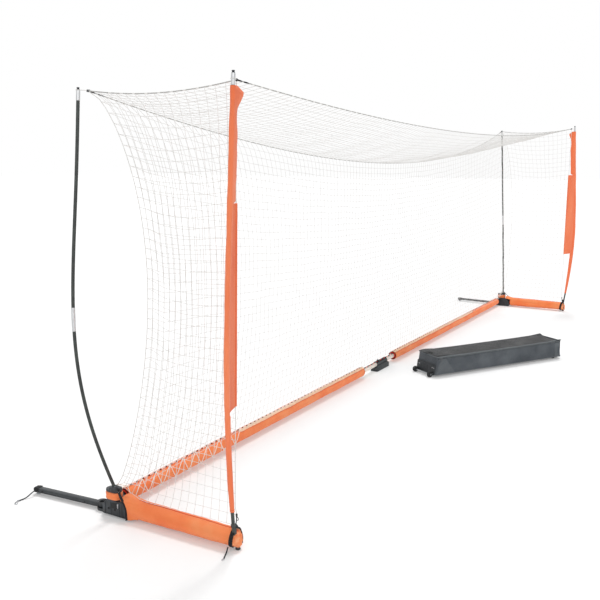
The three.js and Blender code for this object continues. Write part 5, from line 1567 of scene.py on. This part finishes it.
def add_bag_wheels():
    radius = extent("bag_wheel_left").z / 2
    across = BAG.to_3x3() @ Vector((0, 1, 0))
    for name, sign in SIDES:
        centre = BAG @ Vector((AXLE_X, sign * mm(WHEEL_OFFSET), radius))
        wheel = Shape()
        half = mm(11)
        side_profile = [(11, 5), (11, 10), (10, 13), (8, 14), (9, 19), (8, 22), (5, 23), (4, 22.2),
                        (1, 22.2)]
        profile = [(-along, size) for along, size in side_profile] + [(0, 23)] + side_profile[::-1]
        wheel.turned(in_mm(*profile), centre, across, 40)
        for spoke in range(5):
            place = (Matrix.Translation(centre) @ BAG.to_3x3().to_4x4()
                     @ Matrix.Rotation(2 * math.pi * spoke / 5, 4, "Y"))
            wheel.block((mm(8), -half + mm(0.8), mm(-2)), (mm(18), half - mm(0.8), mm(2)), mm(0.8),
                        turn=place)
        wheel.dress(f"bag_wheel_{name}", "rubber", smooth=35, body=f"wheel_{name}")

    axle = Shape()
    centre = BAG @ Vector((AXLE_X, 0, radius))
    reach = mm(112)
    axle.turned([(-reach, mm(3)), (-reach + mm(1), mm(4)), (reach - mm(1), mm(4)), (reach, mm(3))],
                centre, across, 20)
    axle.dress("bag_axle", "zinc")

    plate = Shape()
    tilt = BAG @ Matrix.Translation((-BAG_HALF_LENGTH, 0, BAG_FLOOR))
    lean = tilt @ Matrix.Rotation(math.radians(8.5), 4, "Y")
    plate.block(mm(-7, -116, 0), mm(-1, 116, 82), mm(2.4), turn=lean)
    plate.block(mm(-10, -112, 66), mm(-5, 112, 74), mm(2), turn=lean)
    for y in (-60, -20, 20, 60):
        plate.block(mm(-9.4, y - 3, 8), mm(-5, y + 3, 66), mm(1.4), turn=lean)
    for side in (-1, 1):
        for arm in (-1, 1):
            y = side * WHEEL_OFFSET + arm * 14.1
            place = BAG @ Matrix.Translation(mm(0, y, 0))
            plate.block((AXLE_X, mm(-2.5), radius - mm(9)), (-BAG_HALF_LENGTH + mm(1), mm(2.5),
                        radius + mm(9)), mm(1), turn=place)
            plate.turned(in_mm((-2.5, 9), (2.5, 9)), place @ Vector((AXLE_X, 0, radius)),
                         across, 20)
    plate.dress("bag_end_plate", "black", smooth=35)

    rivets = Shape()
    way = lean.to_3x3() @ Vector((-1, 0, 0))
    for y in (-104, -84, 84, 104):
        for z in (12, 56):
            rivets.turned(in_mm((6.4, 4.6), (8, 4.4), (9, 3), (9.4, 1)),
                          lean @ mm(0, y, z), way, 16)
    rivets.piece("bag_end_rivets", "zinc")


def add_bag_handle():
    """Webbing grip that hangs from two sewn tabs on the far end."""
    x = BAG_HALF_LENGTH + mm(2.4)
    grip = Shape()
    route = [(x, mm(-63), mm(121)), (x, mm(-63), mm(100)), (x, mm(-60), mm(84)), (x, mm(-50), mm(75)),
             (x, mm(-30), mm(73)), (x, 0, mm(73)), (x, mm(30), mm(73)), (x, mm(50), mm(75)),
             (x, mm(60), mm(84)), (x, mm(63), mm(100)), (x, mm(63), mm(121))]
    line = spline(route, 60)
    rows = []
    for point, (side, over) in zip(line, frames_along(line)):
        across = over if abs(over.x) < abs(side.x) else side
        rows.append([BAG @ (point + across * mm(11) * share) for share in (-1, -0.5, 0, 0.5, 1)])
    grip.sheet(rows, mm(2.6))
    grip.tube([BAG @ point for point in spline([(x, mm(-34), mm(73)), (x, 0, mm(73)),
                                                (x, mm(34), mm(73))], 12)], mm(10), 14, flat=0.2)
    grip.dress("bag_handle", "web", smooth=50, body="handle")

    tabs = Shape()
    for side in (-1, 1):
        place = BAG @ Matrix.Translation((0, side * mm(63), 0))
        tabs.block((BAG_HALF_LENGTH - mm(9), mm(-14), mm(124.5)), (BAG_HALF_LENGTH + mm(1), mm(14),
                   mm(150)), mm(1.2), turn=place)
    tabs.piece("bag_handle_tabs", "web")


# ---- Assembly ------------------------------------------------------------------------

add_bars()
add_coupler()
for side_name, side_sign in SIDES:
    add_bow("rear", REAR_BOW, side_name, side_sign)
    add_bow("front", FRONT_BOW, side_name, side_sign)
    add_sleeve(side_name, side_sign)
    add_rear_pad(side_name, side_sign)
    add_side_pad(side_name, side_sign)
    add_corner_ties(side_name, side_sign)
    add_lacing(side_name, side_sign)
    add_mouth_foot(side_name, side_sign)
    add_tie_strap(side_name, side_sign)
    add_hub(side_name, side_sign)
    add_leg(side_name, side_sign)
    add_front_socket(side_name, side_sign)
add_net()
add_border_ropes()
add_bag_body()
add_bag_trim()
add_bag_lid()
add_bag_zip()
add_bag_wheels()
add_bag_handle()
